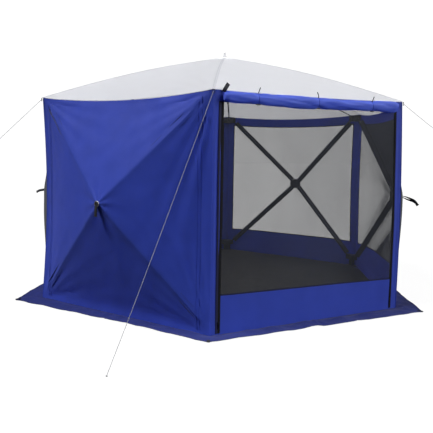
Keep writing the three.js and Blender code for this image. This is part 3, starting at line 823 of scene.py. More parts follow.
class Wall:
    """Wall k in its flat frame: x along its foot, y up it, z outwards."""

    def __init__(self, k):
        self.k = k
        self.name = WALL_NAMES[k]
        low = [around(BASE_RADIUS, corner_angle(i)) for i in (k, k + 1)]
        high = [around(EAVE_RADIUS, corner_angle(i), EAVE_HEIGHT) for i in (k, k + 1)]
        self.foot = (low[0] + low[1]) / 2
        self.along = (low[1] - low[0]).normalized()
        self.up = ((high[0] + high[1]) / 2 - self.foot).normalized()
        self.out = self.along.cross(self.up)
        self.sag = EAVE_SAG.get(self.name, OTHER_SAG)

    def half(self, y):
        return mix(BASE_RADIUS, EAVE_RADIUS, y / SLANT) / 2

    def at(self, x, y, z=0.0):
        return self.foot + self.along * x + self.up * y + self.out * z

    def local(self, point):
        off = Vector(point) - self.foot
        return off.dot(self.along), off.dot(self.up), off.dot(self.out)

    def drop(self, x, y):
        """How far the eave's sag lowers the cloth at a place."""
        reach = clamp((y / SLANT - 0.55) / 0.45)
        return self.sag * arch(clamp(0.5 + x / (2 * self.half(y)))) * reach * reach

    def lift(self, x, y, z=0.0):
        return pulled_in(self.at(x, y - self.drop(x, y), self.height(x, y) + z))

    def height(self, x, y):
        return 0.0


class PoledWall(Wall):
    """A wall with a hub and four poles, whose cloth stands out as a low pyramid."""

    CORNERS = ("top_left", "top_right", "bottom_right", "bottom_left")
    FACETS = {"top": "top_left", "right": "top_right", "bottom": "bottom_right", "left": "bottom_left"}

    def __init__(self, k):
        super().__init__(k)
        joints = {c: JOINTS[f"wall_pole_{self.name}_{c}_hinge"] for c in self.CORNERS}
        self.pivots = {c: Vector(j["pos_m"]) for c, j in joints.items()}
        spots = {c: self.local(p) for c, p in self.pivots.items()}
        self.wide_high, self.high, _ = spots["top_right"]
        self.wide_low, self.low, self.inset = spots["bottom_right"]
        self.crossing = mix(self.low, self.high, self.wide_low / (self.wide_low + self.wide_high))
        travel = JOINTS[f"wall_hub_{self.name}_push"]["range_m"]
        self.hub_out = max(abs(v) for v in travel) / 2 + self.inset
        self.bulge = self.hub_out + HUB_SKIN_GAP
        self.hub = self.at(0, self.crossing, self.hub_out)
        self.solid = k == FRONT

    def fold_half(self, y):
        return mix(self.wide_low, self.wide_high, (y - self.low) / (self.high - self.low))

    def shares(self, x, y):
        """How far a place is from each fold line to the peak, from 0 to 1."""
        middle = self.fold_half(self.crossing)
        edge = self.fold_half(y)
        return (
            (self.high - y) / (self.high - self.crossing),
            (edge - x) / middle,
            (y - self.low) / (self.crossing - self.low),
            (edge + x) / middle,
        )

    def taut(self, x, y):
        """The height of the stretched cloth over its flat plane."""
        share = (least(self.shares(x, y), 0.02) + FOLD_REACH) / (1 + FOLD_REACH)
        return self.bulge * above_zero(share, 0.03)

    def height(self, x, y):
        level, beside = sorted(self.shares(x, y))[:2]
        billow = BILLOW.get(self.name, OTHER_BILLOW) * arch(clamp(level)) * ease((beside - level) / 0.45)
        billow *= mix(1.0, 0.15, ease((y - self.crossing) / 0.25))
        return self.taut(x, y) + billow + self.folds(x, y)

    def folds(self, x, y):
        """Pulls in the cloth: fans from each corner, a few round the hub and soft drapes."""
        total = 0.0
        edge = clamp(min(self.half(y) - abs(x), y, SLANT - y) / 0.03)  # none at the wall's own edges
        strength = 1.0 if self.solid else SCREEN_FOLDS
        for side in (-1, 1):
            for level in (0, SLANT):
                dx, dy = x - side * self.half(level), y - level
                reach = math.hypot(dx, dy)
                angle = math.atan2(abs(dy), abs(dx))
                fan = math.sin(angle * 21 + side * 1.3 + level) * math.sin(angle * 9 + side + level)
                total += fan * fading(CORNER_FAN, reach)
        if self.solid:
            for level in (0, SLANT):
                dx, dy = self.half(level) - x, abs(level - y)
                slope = math.atan2(dx, dy + 1e-6)
                spread = math.exp(-((slope - LONG_FOLD_SLOPE) / LONG_FOLD_SPREAD) ** 2)
                total += math.sin(slope * 34 + level) * spread * fading(LONG_FOLDS, dy)
        dy = y - self.crossing
        total += math.sin(8 * math.atan2(dy, x) + 0.6) * fading(HUB_FOLDS, math.hypot(x, dy))
        total += 0.0035 * ripple(x, y * 0.45, 0.20, self.k + 1)
        total += 0.0014 * ripple(x, y * 0.7, 0.07, self.k + 9)
        return total * edge * strength

    def corners_of(self, facet):
        left_low, right_low = (-self.wide_low, self.low), (self.wide_low, self.low)
        left_high, right_high = (-self.wide_high, self.high), (self.wide_high, self.high)
        return {
            "top": (right_high, left_high),
            "left": (left_high, left_low),
            "bottom": (left_low, right_low),
            "right": (right_low, right_high),
        }[facet]

    def follow(self, piece, facet):
        """Cloth beyond a facet's fold turns with its pole."""
        a, b = self.corners_of(facet)
        middle = Vector(((a[0] + b[0]) / 2, (a[1] + b[1]) / 2))
        if facet in ("left", "right"):
            inward = Vector((math.copysign(1, -middle.x), 0))
        else:
            inward = Vector((0, math.copysign(1, self.crossing - middle.y)))
        end = middle + inward * FOLD_BLEND
        body = f"wall_pole_{self.name}_{self.FACETS[facet]}"
        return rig.blend(piece, "root", body, start=self.at(*middle), end=self.at(*end))

    def pick(self, x, y):
        """0 for solid cloth, 1 for screen and 2 for the binding between them."""
        inside = min(SLANT - TOP_STRIP - y, y - SILL, self.half(y) - STRIP - abs(x))
        if self.solid or inside < 0:
            return 0
        return 2 if inside < BINDING else 1

    def cuts(self):
        """Lines along which solid cloth, binding and screen meet."""
        if self.solid:
            return []
        lines = []
        for wide in (0, BINDING):
            lines.append((0, SLANT - TOP_STRIP - wide, 1, 0))
            lines.append((0, SILL + wide, 1, 0))
            for side in (-1, 1):
                foot, head = self.half(0) - STRIP - wide, self.half(SLANT) - STRIP - wide
                lines.append((side * foot, 0, side * (head - foot), SLANT))
        return lines


door = Wall(DOOR)
poled = [PoledWall(k) for k in range(1, SIDES)]
WALLS = [door, *poled]
SPOKES, RINGS = 56, 34
BAND_RINGS = 4
HOLE = 0.012  # share of a facet left open round the hub's stem


def wall_cloth(wall, part, spots, faces):
    """Cloth of a wall, split where solid cloth, binding and screen meet."""
    name = f"wall_{wall.name}_{part}"
    materials = [BLUE, SCREEN, DARK]
    return cut_cloth(name, spots, faces, wall.cuts(), wall.lift, wall.pick, materials, CLOTH)


def wall_band(wall):
    """The flat cloth between a wall's edges and its fold lines, which stays still."""
    outer = []
    for level, side in ((EDGE_GAP, -1), (EDGE_GAP, 1), (SLANT, 1), (SLANT, -1)):
        outer.append(Vector((side * wall.half(level), level)))
    inner = [Vector((-wall.wide_low, wall.low)), Vector((wall.wide_low, wall.low))]
    inner += [Vector((wall.wide_high, wall.high)), Vector((-wall.wide_high, wall.high))]

    def strip(side):
        a, b, c, d = outer[side - 1], outer[side], inner[side - 1], inner[side]
        return lambda s, t: mix(mix(a, b, s), mix(c, d, s), t)

    strips = [(SPOKES, BAND_RINGS, strip(side), False) for side in (1, 2, 3, 0)]
    band = wall_cloth(wall, "band", *nets(*strips))
    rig.ride(band, "root")
    return band


def wall_facet(wall, facet):
    """One of the four faces of a wall's low pyramid, which turns with its pole."""
    a, b = (Vector(p) for p in wall.corners_of(facet))
    peak = Vector((0, wall.crossing))
    points, faces = grid(SPOKES, RINGS, lambda s, t: mix(mix(b, a, s), peak, t * (1 - HOLE)))
    cloth = wall_cloth(wall, facet, [tuple(p) for p in points], [tuple(reversed(f)) for f in faces])
    wall.follow(cloth, facet)
    return cloth


def make_poled_wall(wall):
    node = f"wall_panel_{wall.name}"
    slot = "blue_cloth" if wall.solid else "mesh_cloth"
    band = wall_band(wall)
    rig.replaces(band, node)
    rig.slot(band, slot)
    open_area = (wall.wide_low + wall.wide_high) * (wall.high - wall.low)
    band_area = (wall.half(0) + wall.half(SLANT)) * SLANT - open_area
    wide = band_area / (0.95 * SLANT)  # the band's strips laid side by side
    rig.sheet(band, flat=(wide, SLANT), held="stretched", rests_on=["top_corner_hub_1"], area=band_area)
    for facet in wall.FACETS:
        cloth = wall_facet(wall, facet)
        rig.slot(cloth, slot)
        a, b = (Vector(p) for p in wall.corners_of(facet))
        base = (a - b).length
        deep = math.hypot(((a + b) / 2 - Vector((0, wall.crossing))).length, wall.bulge)
        pole = f"wall_pole_{wall.name}_{wall.FACETS[facet]}"
        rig.sheet(cloth, flat=(base, deep), held="stretched", rests_on=[pole], area=base * deep / 2)


for poled_wall in poled:
    make_poled_wall(poled_wall)


# ---- Roof ----
GORE_COLUMNS, GORE_ROWS = 48, 44
PEAK_HOLE = 0.014
ROOF_EDGE = EAVE_RADIUS + 0.004
RIDGE_WIDTH, RIDGE_LENGTH = 0.026, 1.8
RIDGE_START, RIDGE_END = 0.004, 0.972  # shares of the way from the eave to the peak
PIPING_RADIUS = 0.0035
ROOF_FAN, ROOF_RIPPLE = 0.006, 0.0035  # the heights of the folds at its corners and of its ripples


def roof_point(i, s, t, lift=0.0):
    """A place on gore i: s runs from corner i to corner i + 1, and t from the eave to the peak."""
    radius = mix(ROOF_EDGE, PEAK_HOLE, t)
    flat = mix(around(radius, corner_angle(i)), around(radius, corner_angle(i + 1)), s)
    height = mix(EAVE_HEIGHT + 2 * EDGE_GAP, PEAK_HEIGHT - EDGE_GAP, t) + ROOF_BOW * math.sin(math.pi * t)
    height -= arch(s) * (WALLS[i].sag * (1 - t) ** 3 + ROOF_DIP * math.sin(math.pi * t))
    corner = min(s, 1 - s) * radius
    reach = math.hypot(corner, t * EAVE_RADIUS)
    angle = math.atan2(t * EAVE_RADIUS, corner + 1e-6)  # of the fan of small folds at each corner
    fan = ROOF_FAN * math.sin(angle * 17 + i) * math.exp(-reach / 0.30) * ease(corner / 0.05) * ease(t / 0.03)
    soft = ROOF_RIPPLE * ripple(flat.x, flat.y, 0.35, i + 30) * ease(corner / 0.10)
    return Vector((flat.x, flat.y, height + fan + soft + lift))


def make_gore(i):
    side = 2 * math.sin(math.pi / SIDES) * ROOF_EDGE
    rise = PEAK_HEIGHT - EAVE_HEIGHT
    deep = math.hypot(ROOF_EDGE * APOTHEM, rise)

    def at(s, t):
        return roof_point(i, s, t)

    def flat(s, t):
        return ((s - 0.5) * side * (1 - t), t * deep)

    gore = net(f"roof_gore_{i + 1}", GORE_COLUMNS, GORE_ROWS, at, flat, [WHITE], CLOTH)
    middle = roof_point(i, 0.5, 0)
    inward = -Vector((middle.x, middle.y, 0)).normalized()
    start = Vector((middle.x, middle.y, 0)) + inward * ROOF_PIVOT_IN * 0.5
    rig.blend(gore, "root", f"roof_pole_{i + 1}", start=start, end=start + inward * FOLD_BLEND)
    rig.slot(gore, "white_cloth")
    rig.sheet(gore, flat=(side, deep), held="stretched", rests_on=[f"roof_pole_{i + 1}"], area=side * deep / 2)
    return gore


def make_ridge(i):
    """The tape sewn over the seam between two gores, bent over the ridge."""
    def at(s, t):
        t = mix(RIDGE_START, RIDGE_END, t)
        off = (2 * s - 1) * RIDGE_WIDTH / 2 / mix(ROOF_EDGE, PEAK_HOLE, t)
        gore, across = (i, off) if off >= 0 else ((i - 1) % SIDES, 1 + off)
        return roof_point(gore, across, t, 0.0022)

    def flat(s, t):
        return s * RIDGE_WIDTH, t * RIDGE_LENGTH

    tape = net(f"roof_ridge_{i + 1}", 6, 60, at, flat, [SEAM_TAPE], 0.0008)
    fit(tape, f"roof_pole_{i + 1}", "white_cloth")


def make_eave_piping(i):
    steps = 36
    path = [roof_point(i, j / steps, 0, -0.0015) for j in range(steps + 1)]
    fit(tube(f"eave_piping_{i + 1}", path, PIPING_RADIUS, WHITE), "root", "white_cloth")


gores = [make_gore(i) for i in range(SIDES)]
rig.replaces(gores[0], "roof_canopy")
for ridge_number in range(SIDES):
    make_ridge(ridge_number)
    make_eave_piping(ridge_number)


# The cap's radius and its height over the peak, from its rim to the top of the knob.
CAP_PROFILE = (
    (0.115, -0.036), (0.085, -0.026), (0.058, -0.0165), (0.036, -0.008), (0.022, -0.001), (0.014, 0.008),
    (0.0105, 0.018), (0.0105, 0.034), (0.0098, 0.041), (0.006, 0.0450), (0.0, 0.046),
)
CAP_PLEATS = range(3, 8)  # the rows of it that are gathered


def make_peak_cap():
    """A round patch of cloth over the peak, with the hub's nub sewn into it as a soft knob."""
    turns = 36
    points, flat = [], []
    for j, (radius, height) in enumerate(CAP_PROFILE):
        for angle in turns_of(turns):
            pleat = 1 + 0.05 * math.sin(12 * angle) * (j in CAP_PLEATS)
            spot = around(max(radius, 0.0005) * pleat, angle)
            points.append(Vector((spot.x, spot.y, PEAK_HEIGHT + 0.004 + height)))
            flat.append((spot.x, spot.y + 0.2 * (1 - spot.length / EAVE_RADIUS)))
    faces = round_faces(len(CAP_PROFILE), turns)
    cap = mesh_object("peak_cap", points, faces, flat, [CAP], thickness=CLOTH)
    fit(cap, "roof_hub", "white_cloth")


make_peak_cap()


# ---- Sleeves and ties that hold the poles to the cloth ----
SLEEVE_HALF = 0.030
SLEEVE_CORE, SLEEVE_DEPTH = 0.0095, 0.0105  # half the channel's width, and its depth behind the pole
SLEEVE_ENDS = (0.050, 0.061)  # bare pole at its corner and at its hub


def make_sleeve(wall, corner):
    """A black fabric channel from the cloth's crease down round a pole."""
    pivot = wall.pivots[corner]
    span = wall.hub - pivot
    along = span.normalized()
    out = (wall.out - along * wall.out.dot(along)).normalized()
    across = along.cross(out)
    start, end = SLEEVE_ENDS[0], span.length - SLEEVE_ENDS[1]

    def at(s, t):
        distance = mix(start, end, t)
        centre = pivot + along * distance
        x, y, z = wall.local(centre)
        gap = wall.taut(x, y) - z - 0.004
        wobble = 0.0012 * ripple(distance, wall.k * 3.0 + z, 0.05, 3)
        turn = mix(-1.0, 1.0, s)
        step = (abs(turn) - 0.5) * 2
        if step > 0:
            side = mix(SLEEVE_CORE, SLEEVE_HALF, step ** 1.4) * math.copysign(1, turn)
            deep = mix(0.0, gap - 0.19 * SLEEVE_HALF, step)
        else:
            side = SLEEVE_CORE * math.sin(turn * math.pi)
            deep = -SLEEVE_DEPTH * math.cos(turn * math.pi)
        return centre + across * (side + wobble) + out * deep

    def flat(s, t):
        return mix(start, end, t), mix(-1.0, 1.0, s) * 2 * SLEEVE_HALF

    sleeve = net(f"sleeve_{wall.name}_{corner}", 12, 40, at, flat, [WEBBING], 0.0008)
    fit(sleeve, f"wall_pole_{wall.name}_{corner}", "black_plastic")


for poled_wall in poled:
    for pole_corner in PoledWall.CORNERS:
        make_sleeve(poled_wall, pole_corner)


TIE_RADIUS, TIE_THREAD = 0.0085, 0.0022
ROOF_POLE_END = 0.085  # how far under the peak the roof poles meet
ROOF_POLE_BOW = 0.034


def make_roof_ties(i):
    """Hook-and-loop bands that hold a roof pole under its ridge."""
    pivot = Vector(JOINTS[f"roof_pole_{i + 1}_hinge"]["pos_m"])
    hub = UP * (PEAK_HEIGHT - ROOF_POLE_END)
    along = (hub - pivot).normalized()
    across = along.cross(UP).normalized()
    up = across.cross(along)
    for j in range(1, 6):
        share = j / 6.3
        centre = mix(pivot, hub, share)
        centre.z += ROOF_POLE_BOW * arch(share)
        t = 1 - math.hypot(centre.x, centre.y) / ROOF_EDGE
        gap = (roof_point(i, 0, t).z - centre.z) * 0.96 - 0.004
        loop = []
        for turn in turns_of(20):
            side, rise = TIE_RADIUS * math.cos(turn), TIE_RADIUS * math.sin(turn)
            if rise > 0:
                rise = math.sin(turn) * gap
                side *= 0.8
            loop.append(centre + across * side + up * rise)
        tie = tube(f"roof_tie_{i + 1}_{j}", loop, TIE_THREAD, WEBBING, 6, closed=True)
        fit(tie, f"roof_pole_{i + 1}", "black_plastic")


for tie_number in range(SIDES):
    make_roof_ties(tie_number)


# ---- Hub rings, patches and pull straps ----
# How far a pull strap falls, how far it stands out, how far it gapes and how far it turns on itself.
STRAPS = {
    "front": (0.085, 0.006, 0.0, 0.0),
    "left": (0.040, 0.150, 0.008, 0.9),
    "right": (0.100, 0.185, 0.020, 1.3),
}
OTHER_STRAP = (0.080, 0.060, 0.004, 0.0)
PULL_WIDTH, PULL_THICK = 0.026, 0.0034
PATCH_RADIUS = 0.062
RING_RADIUS, RING_THICK = 0.0215, 0.0034
BAR_HALF, BAR_RADIUS = 0.0155, 0.0040


def make_hub_patch(wall, body):
    """A round patch on the cloth's peak."""
    rings, turns = 6, 36
    points, flat = [], []
    for j in range(rings + 1):
        radius = mix(0.009, PATCH_RADIUS, j / rings)
        for turn in turns_of(turns):
            x, y = radius * math.cos(turn), wall.crossing + radius * math.sin(turn)
            points.append(wall.at(x, y, min(wall.height(x, y), wall.bulge) + 0.0012))
            flat.append((x, y))
    cloth = BLUE if wall.solid else DARK
    faces = turned(round_faces(rings + 1, turns))
    patch = mesh_object(f"hub_patch_{wall.name}", points, faces, flat, [cloth], thickness=0.001)
    fit(patch, body, "blue_cloth")


def make_hub_ring(wall, body, peak):
    """A bright ring round the hub's button."""
    side = wall.out.orthogonal().normalized()
    other = wall.out.cross(side)
    loop = ring_of(peak + wall.out * 0.008, side * RING_RADIUS, other * RING_RADIUS, 40)
    ring = tube(f"hub_ring_{wall.name}", loop, RING_THICK, SILVER, 10, closed=True)
    fit(ring, body, "zip_metal")


def make_pull_strap(wall, body, peak):
    """A doubled strap to pull the hub out by, with a bar in its end."""
    down = -wall.up
    fall, reach, gape, turned_by = STRAPS.get(wall.name, OTHER_STRAP)
    shape = [(0.0, 0.0, 0), (0.16 * fall, 0.36 * reach, 0), (0.52 * fall, 0.78 * reach, 0), (fall, reach, 0)]
    curve = smooth_path(shape, BEND_STEP)
    last = len(curve) - 1
    path, normals, under = [], [], []
    for i, (spot, tangent, _) in enumerate(stations(curve)):
        path.append(peak + down * (0.010 + spot.x) + wall.out * (spot.y + 0.013))
        level = (wall.out * tangent.x - down * tangent.y).normalized()
        twist = turned_by * ease(i / last)
        normals.append(level * math.cos(twist) + wall.along * math.sin(twist))
        under.append(path[i] - normals[i] * (0.004 + gape * math.sin(math.pi * i / last)))
    for name, run in (("pull_strap", path), ("pull_strap_back", under)):
        strap = ribbon(f"{name}_{wall.name}", run, normals, PULL_WIDTH, PULL_THICK, WEBBING)
        fit(strap, body, "black_plastic")
    bar = (path[-1] + under[-1]) / 2
    half = (path[-1] - path[-2]).cross(normals[-1]).normalized() * BAR_HALF
    end_bar = tube(f"pull_end_{wall.name}", [bar - half, bar, bar + half], BAR_RADIUS, PLASTIC, 12)
    fit(end_bar, body, "black_plastic")


def make_hub_trim(wall):
    body = f"wall_hub_{wall.name}"
    peak = wall.at(0, wall.crossing, wall.bulge)
    make_hub_patch(wall, body)
    make_hub_ring(wall, body, peak)
    make_pull_strap(wall, body, peak)


for poled_wall in poled:
    make_hub_trim(poled_wall)


# ---- Seams sewn on the walls ----
CORNER_SEAM_RADIUS = 0.0038
STITCH_RADIUS, STITCH_LIFT = 0.0017, 0.0006


def make_corner_seam(i):
    """The bound corner between two walls, from the eave to the ground."""
    steps = 48
    path = []
    for j in range(steps + 1):
        radius = mix(BASE_RADIUS, EAVE_RADIUS, j / steps)
        height = mix(0.006, EAVE_HEIGHT - 0.004, j / steps)
        path.append(pulled_in(around(radius, corner_angle(i), height)))
    fit(tube(f"corner_seam_{i + 1}", path, CORNER_SEAM_RADIUS, BLUE), "root", "blue_cloth")


for seam_number in range(SIDES):
    make_corner_seam(seam_number)


SEAMS_IN = (0.088, 0.112)  # from the wall's edge


def make_front_seams():
    """The solid wall zips off: a zip, hidden under two rows of stitching, runs inside each of its edges."""
    wall = WALLS[FRONT]
    levels = [mix(0.030, SLANT - 0.030, j / 80) for j in range(81)]
    for side, facet in ((-1, "left"), (1, "right")):
        for row, inset in enumerate(SEAMS_IN):
            path = [wall.lift(side * (wall.half(y) - inset), y, STITCH_LIFT) for y in levels]
            seam = tube(f"seam_front_{facet}_{row + 1}", path, STITCH_RADIUS, BLUE)
            wall.follow(seam, facet)
            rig.slot(seam, "blue_cloth")


make_front_seams()


# ---- Door wall ----
def door_lift(x, y, z=0.0):
    wave = 0.0022 * ripple(x, y * 0.4, 0.22, 40) * ease((y - 0.05) / 0.2)
    return door.lift(x, y, z + wave)


def door_half(y):
    return door.half(y) - DOOR_STRIP


def make_door_surround():
    """The blue strips beside the door and the band over it."""
    under = SLANT - DOOR_HEADER

    def strip(side):
        def place(s, t):
            y = mix(EDGE_GAP, under, t)
            return side * mix(door_half(y), door.half(y), s), y
        return place

    def header(s, t):
        y = mix(under, SLANT, t)
        return mix(-1, 1, s) * door.half(y), y

    def lift(x, y):
        share = clamp((abs(x) - door_half(y)) / DOOR_STRIP)
        pleat = 0.004 * math.sin(share * 9.5) * ease(y / 0.5) * ease((SLANT - y) / 0.5)
        return door_lift(x, y, pleat * (0.6 + 0.4 * ripple(x, y, 0.4, 41)))

    spots, faces = nets((6, 64, strip(-1), True), (6, 64, strip(1), False), (64, 6, header, False))
    cloth = cut_cloth("door_surround_cloth", spots, faces, [], lift, lambda x, y: 0, [BLUE], CLOTH)
    fit(cloth, "root", "blue_cloth")
    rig.replaces(cloth, "door_surround")
    wide = 2 * door.half(0)
    area = 2 * door.half(0.9) * SLANT - 2 * door_half(0.9) * (SLANT - DOOR_HEADER)
    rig.sheet(cloth, flat=(wide, area / (0.6 * wide)), held="hung", rests_on=["top_corner_hub_1"], area=area)


def sill_top(x):
    return mix(DOOR_SILL_LEFT, DOOR_SILL_RIGHT, clamp(0.5 + x / (2 * door.half(0))))


def make_door_panel():
    """The door's screen with the blue sill sewn to it."""
    low, high = EDGE_GAP, SLANT - DOOR_HEADER

    def spot(s, t):
        y = mix(low, high, t)
        return mix(-1, 1, s) * (door_half(y) - EDGE_GAP), y

    spots, faces = grid(72, 70, spot)
    wide, slope = 2 * door.half(0), DOOR_SILL_RIGHT - DOOR_SILL_LEFT
    cuts = [(-door.half(0), DOOR_SILL_LEFT + up, wide, slope) for up in (0, BINDING)]

    def pick(x, y):
        if y < sill_top(x):
            return 0
        return 2 if y < sill_top(x) + BINDING else 1

    def lift(x, y):
        swell = 0.012 * arch(clamp(y / SLANT)) * arch(clamp(0.5 + x / (2 * door_half(y))))
        drape = 0.003 * ripple(x, y * 0.2, 0.12, 44) * ease((high - y) / 0.2)
        return door_lift(x, y, -swell + drape)

    cloth = cut_cloth("door_screen", spots, faces, cuts, lift, pick, [BLUE, SCREEN, DARK], CLOTH)
    fit(cloth, "root", "mesh_cloth")
    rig.replaces(cloth, "door_panel")
    wide, tall = 2 * door_half(0), high - low
    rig.sheet(cloth, flat=(wide, tall), held="hung", rests_on=["door_surround_cloth"], area=0.99 * wide * tall)


FLAP_WIDTH = 0.020  # the dark flap beside the left zip


def door_zip(side):
    levels = [mix(0.012, SLANT - DOOR_HEADER + 0.004, j / 80) for j in range(81)]
    return [(side * door_half(y), y) for y in levels]


def make_zip_tapes():
    for side, name in ((-1, "left"), (1, "right")):
        path = [door_lift(x, y, STITCH_LIFT) for x, y in door_zip(side)]
        tape = ribbon(f"zip_tape_{name}", path, [door.out] * len(path), ZIP_WIDTH, 0.0010, ZIP)
        fit(tape, "root", "zip_metal")
    beside = FLAP_WIDTH / 2 + ZIP_WIDTH / 2 - 0.003
    path = [door_lift(x - beside, y, 0.0012) for x, y in door_zip(-1)]
    flap = ribbon("zip_flap_left", path, [door.out] * len(path), FLAP_WIDTH, 0.0012, DARK)
    fit(flap, "root", "blue_cloth")


ROLL_RADIUS_UP, ROLL_RADIUS_OUT = 0.044, 0.021
ROLL_RAISE = 0.004
ROLL_TIES = (-0.545, 0.0, 0.545)  # their places along the door
TOGGLE_RADIUS = 0.0034
BEAD_RADIUS, BEAD_HALF = 0.0050, 0.016


def roll_centre(x):
    """The height up the wall and the distance out of it of the rolled cover's middle."""
    low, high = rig.box("door_roll")
    return door.local((x, (low.y + high.y) / 2, (low.z + high.z) / 2))[1:]


def roll_spot(x, turn, grow=0.0):
    """A place on the rolled cover, turn round its section, with the twisted folds of rolled cloth."""
    y, z = roll_centre(x)
    pinch = 1.0
    for tie in ROLL_TIES:
        pinch -= 0.13 * math.exp(-(((x - tie) / 0.030) ** 2))
    end = clamp((1 - abs(x / door_half(SLANT))) / 0.05)
    pinch *= mix(0.72, 1.0, ease(end))
    spiral = math.sin(2 * turn + x * 7.0 + 1.5 * ripple(x, 0, 0.5, 50))
    crease = abs(math.sin(1.5 * turn + x * 10.5 + 2.0 * ripple(x, turn, 0.6, 51)))
    fold = 1 + 0.08 * spiral - 0.17 * crease ** 5 + 0.09 * ripple(x * 0.6, turn * 0.25, 0.16, 52)
    up = (ROLL_RADIUS_UP * pinch + grow) * fold * math.sin(turn)
    out = (ROLL_RADIUS_OUT * pinch + grow) * fold * math.cos(turn)
    sag = door.drop(x, SLANT) + 0.004 * ripple(x, 2.0, 0.3, 53)
    return pulled_in(door.at(x, y + ROLL_RAISE + up - sag, z + out))


def make_roll():
    """The solid door cover, rolled up under the eave."""
    half = door_half(SLANT)
    columns, turns = 220, 32
    points, flat = [], []
    for i in range(columns + 1):
        x = mix(-half, half, i / columns)
        for turn in turns_of(turns):
            points.append(roll_spot(x, turn))
            flat.append((x, turn * 0.04))
    roll = mesh_object("rolled_cover", points, round_faces(columns + 1, turns, ends=True), flat, [ROLL_LIT_BLUE])
    fit(roll, "root", "blue_cloth")
    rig.replaces(roll, "door_roll")
    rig.padded(roll, fill=0.5)


def make_roll_ties():
    """Ties round the roll, each with a strap end above it and a toggle below."""
    for i, x in enumerate(ROLL_TIES):
        loop = [roll_spot(x, turn, 0.0008) for turn in turns_of(28)]
        fit(tube(f"roll_tie_{i + 1}", loop, CORD_RADIUS, BLUE, closed=True), "root", "blue_cloth")
        top, foot = (roll_spot(x, turn, 0.004) for turn in (math.pi / 2, -math.pi / 2))
        lean = -0.018 if i == 1 else 0.012
        bends = [top, top + Vector((lean * 0.3, -0.006, 0.018)), top + Vector((lean, -0.008, 0.042))]
        tab = tube(f"roll_toggle_{i + 1}", smooth_path(bends, BEND_STEP), TOGGLE_RADIUS, WEBBING)
        fit(tab, "root", "black_plastic")
        half = Vector((BEAD_HALF, 0, 0))
        bead = tube(f"roll_bead_{i + 1}", [foot - half, foot, foot + half], BEAD_RADIUS, PLASTIC, 10)
        fit(bead, "root", "black_plastic")


make_door_surround()
make_door_panel()
make_zip_tapes()
make_roll()
make_roll_ties()


# ---- Eave corners: caps, guy tabs ----
CAP_REACH, CAP_DEEP = 0.068, 0.052


def make_eave_corner(i):
    """A cloth cap over each eave corner, with the tab and the ring that a guy rope ties to."""
    angle = corner_angle(i)

    def flat(s, t):
        share = abs(2 * s - 1)
        return (2 * s - 1) * CAP_REACH, SLANT + 0.003 - CAP_DEEP * (1 - 0.35 * share) * t

    def at(s, t):
        reach, y = flat(s, t)
        wall = WALLS[i if s > 0.5 else (i - 1) % SIDES]
        x = reach + math.copysign(wall.half(y), 0.5 - s)
        return pulled_in(wall.at(x, y - wall.drop(x, y), 0.0042))

    columns, rows = 12, 5
    points, faces = grid(columns, rows, at)
    spots = grid(columns, rows, flat)[0]
    cap = mesh_object(f"eave_cap_{i + 1}", points, turned(faces), spots, [BLUE], thickness=0.0012)
    fit(cap, "root", "blue_cloth")
    centre = around(EAVE_RADIUS + 0.0135, angle, EAVE_HEIGHT - 0.014)
    loop = ring_of(centre, around(0.011, angle + math.pi / 2), Vector((0, 0, 0.014)), 18)
    fit(tube(f"guy_ring_{i + 1}", loop, CORD_RADIUS, BLACK_METAL, closed=True), "root", "black_plastic")
    path = []
    for j in range(7):
        path.append(around(EAVE_RADIUS + 0.003 + 0.0105 * j / 6, angle, EAVE_HEIGHT + 0.002 - 0.0035 * j / 6))
    fit(ribbon(f"guy_tab_{i + 1}", path, [UP] * 7, 0.018, 0.0016, WEBBING), "root", "black_plastic")


for cap_number in range(SIDES):
    make_eave_corner(cap_number)


def make_door_strap():
    """The strap at the left of the header, which holds the cover's end when it is let down."""
    start = door.lift(-door.half(SLANT) + 0.075, SLANT - 0.012, 0.012)
    tip = start + door.along * 0.034 + Vector((0, -0.006, 0.060))
    path = smooth_path([start, start + Vector((0.006, -0.010, 0.020)), tip], BEND_STEP)
    strap = ribbon("header_strap", path, [door.out] * len(path), 0.030, 0.0018, WEBBING)
    fit(strap, "root", "black_plastic")


make_door_strap()


# ---- Skirt and floor ----
SKIRT_REACH, SKIRT_POINT, BLUNT_POINT = 0.150, 0.235, 0.150
SKIRT_TUCK = 0.120  # under the floor sheet
SKIRT_LIFT = 0.011
SKIRT_WAVES = ((0.018, 0.17, 61), (0.009, 0.06, 62))  # height, size and seed
HEM_RADIUS = 0.0030


def skirt_spot(k, s, t):
    """s runs along wall k, t from under the floor sheet to the skirt's edge."""
    ends = corner_angle(k), corner_angle(k + 1)
    foot = mix(*(around(BASE_RADIUS - SKIRT_TUCK, angle) for angle in ends), s)
    nearest = k if s < 0.5 else (k + 1) % SIDES
    point = BLUNT_POINT if nearest == 0 else SKIRT_POINT
    corner = around(BASE_RADIUS + point, ends[0] if s < 0.5 else ends[1])
    middle = (around(BASE_RADIUS, ends[0]) + around(BASE_RADIUS, ends[1])) / 2
    middle = middle.normalized() * (middle.length + SKIRT_REACH)
    edge = mix(corner, middle, math.sin(math.pi / 2 * min(s, 1 - s) * 2) ** 1.15)
    edge += middle.normalized() * 0.014 * ripple(s * 4.0, k * 2.0, 0.45, 60) * arch(s)
    spot = mix(foot, edge, t)
    outside = ease((t - 0.44) / 0.10)  # flat under the floor sheet and the wall's foot
    wave = SKIRT_LIFT
    for high, size, seed in SKIRT_WAVES:
        wave += high * ripple(spot.x, spot.y, size, seed)
    pucker = 0.013 * math.sin(s * 2 * math.pi * 9 + 3 * ripple(s * 3, k, 0.5, 63)) * math.exp(-t * 2.2)
    height = max(wave + pucker * ease(arch(s) / 0.2), 0.0) * outside * (1 - 0.5 * ease(t * 2 - 1))
    return Vector((spot.x, spot.y, 0.0014 + height))


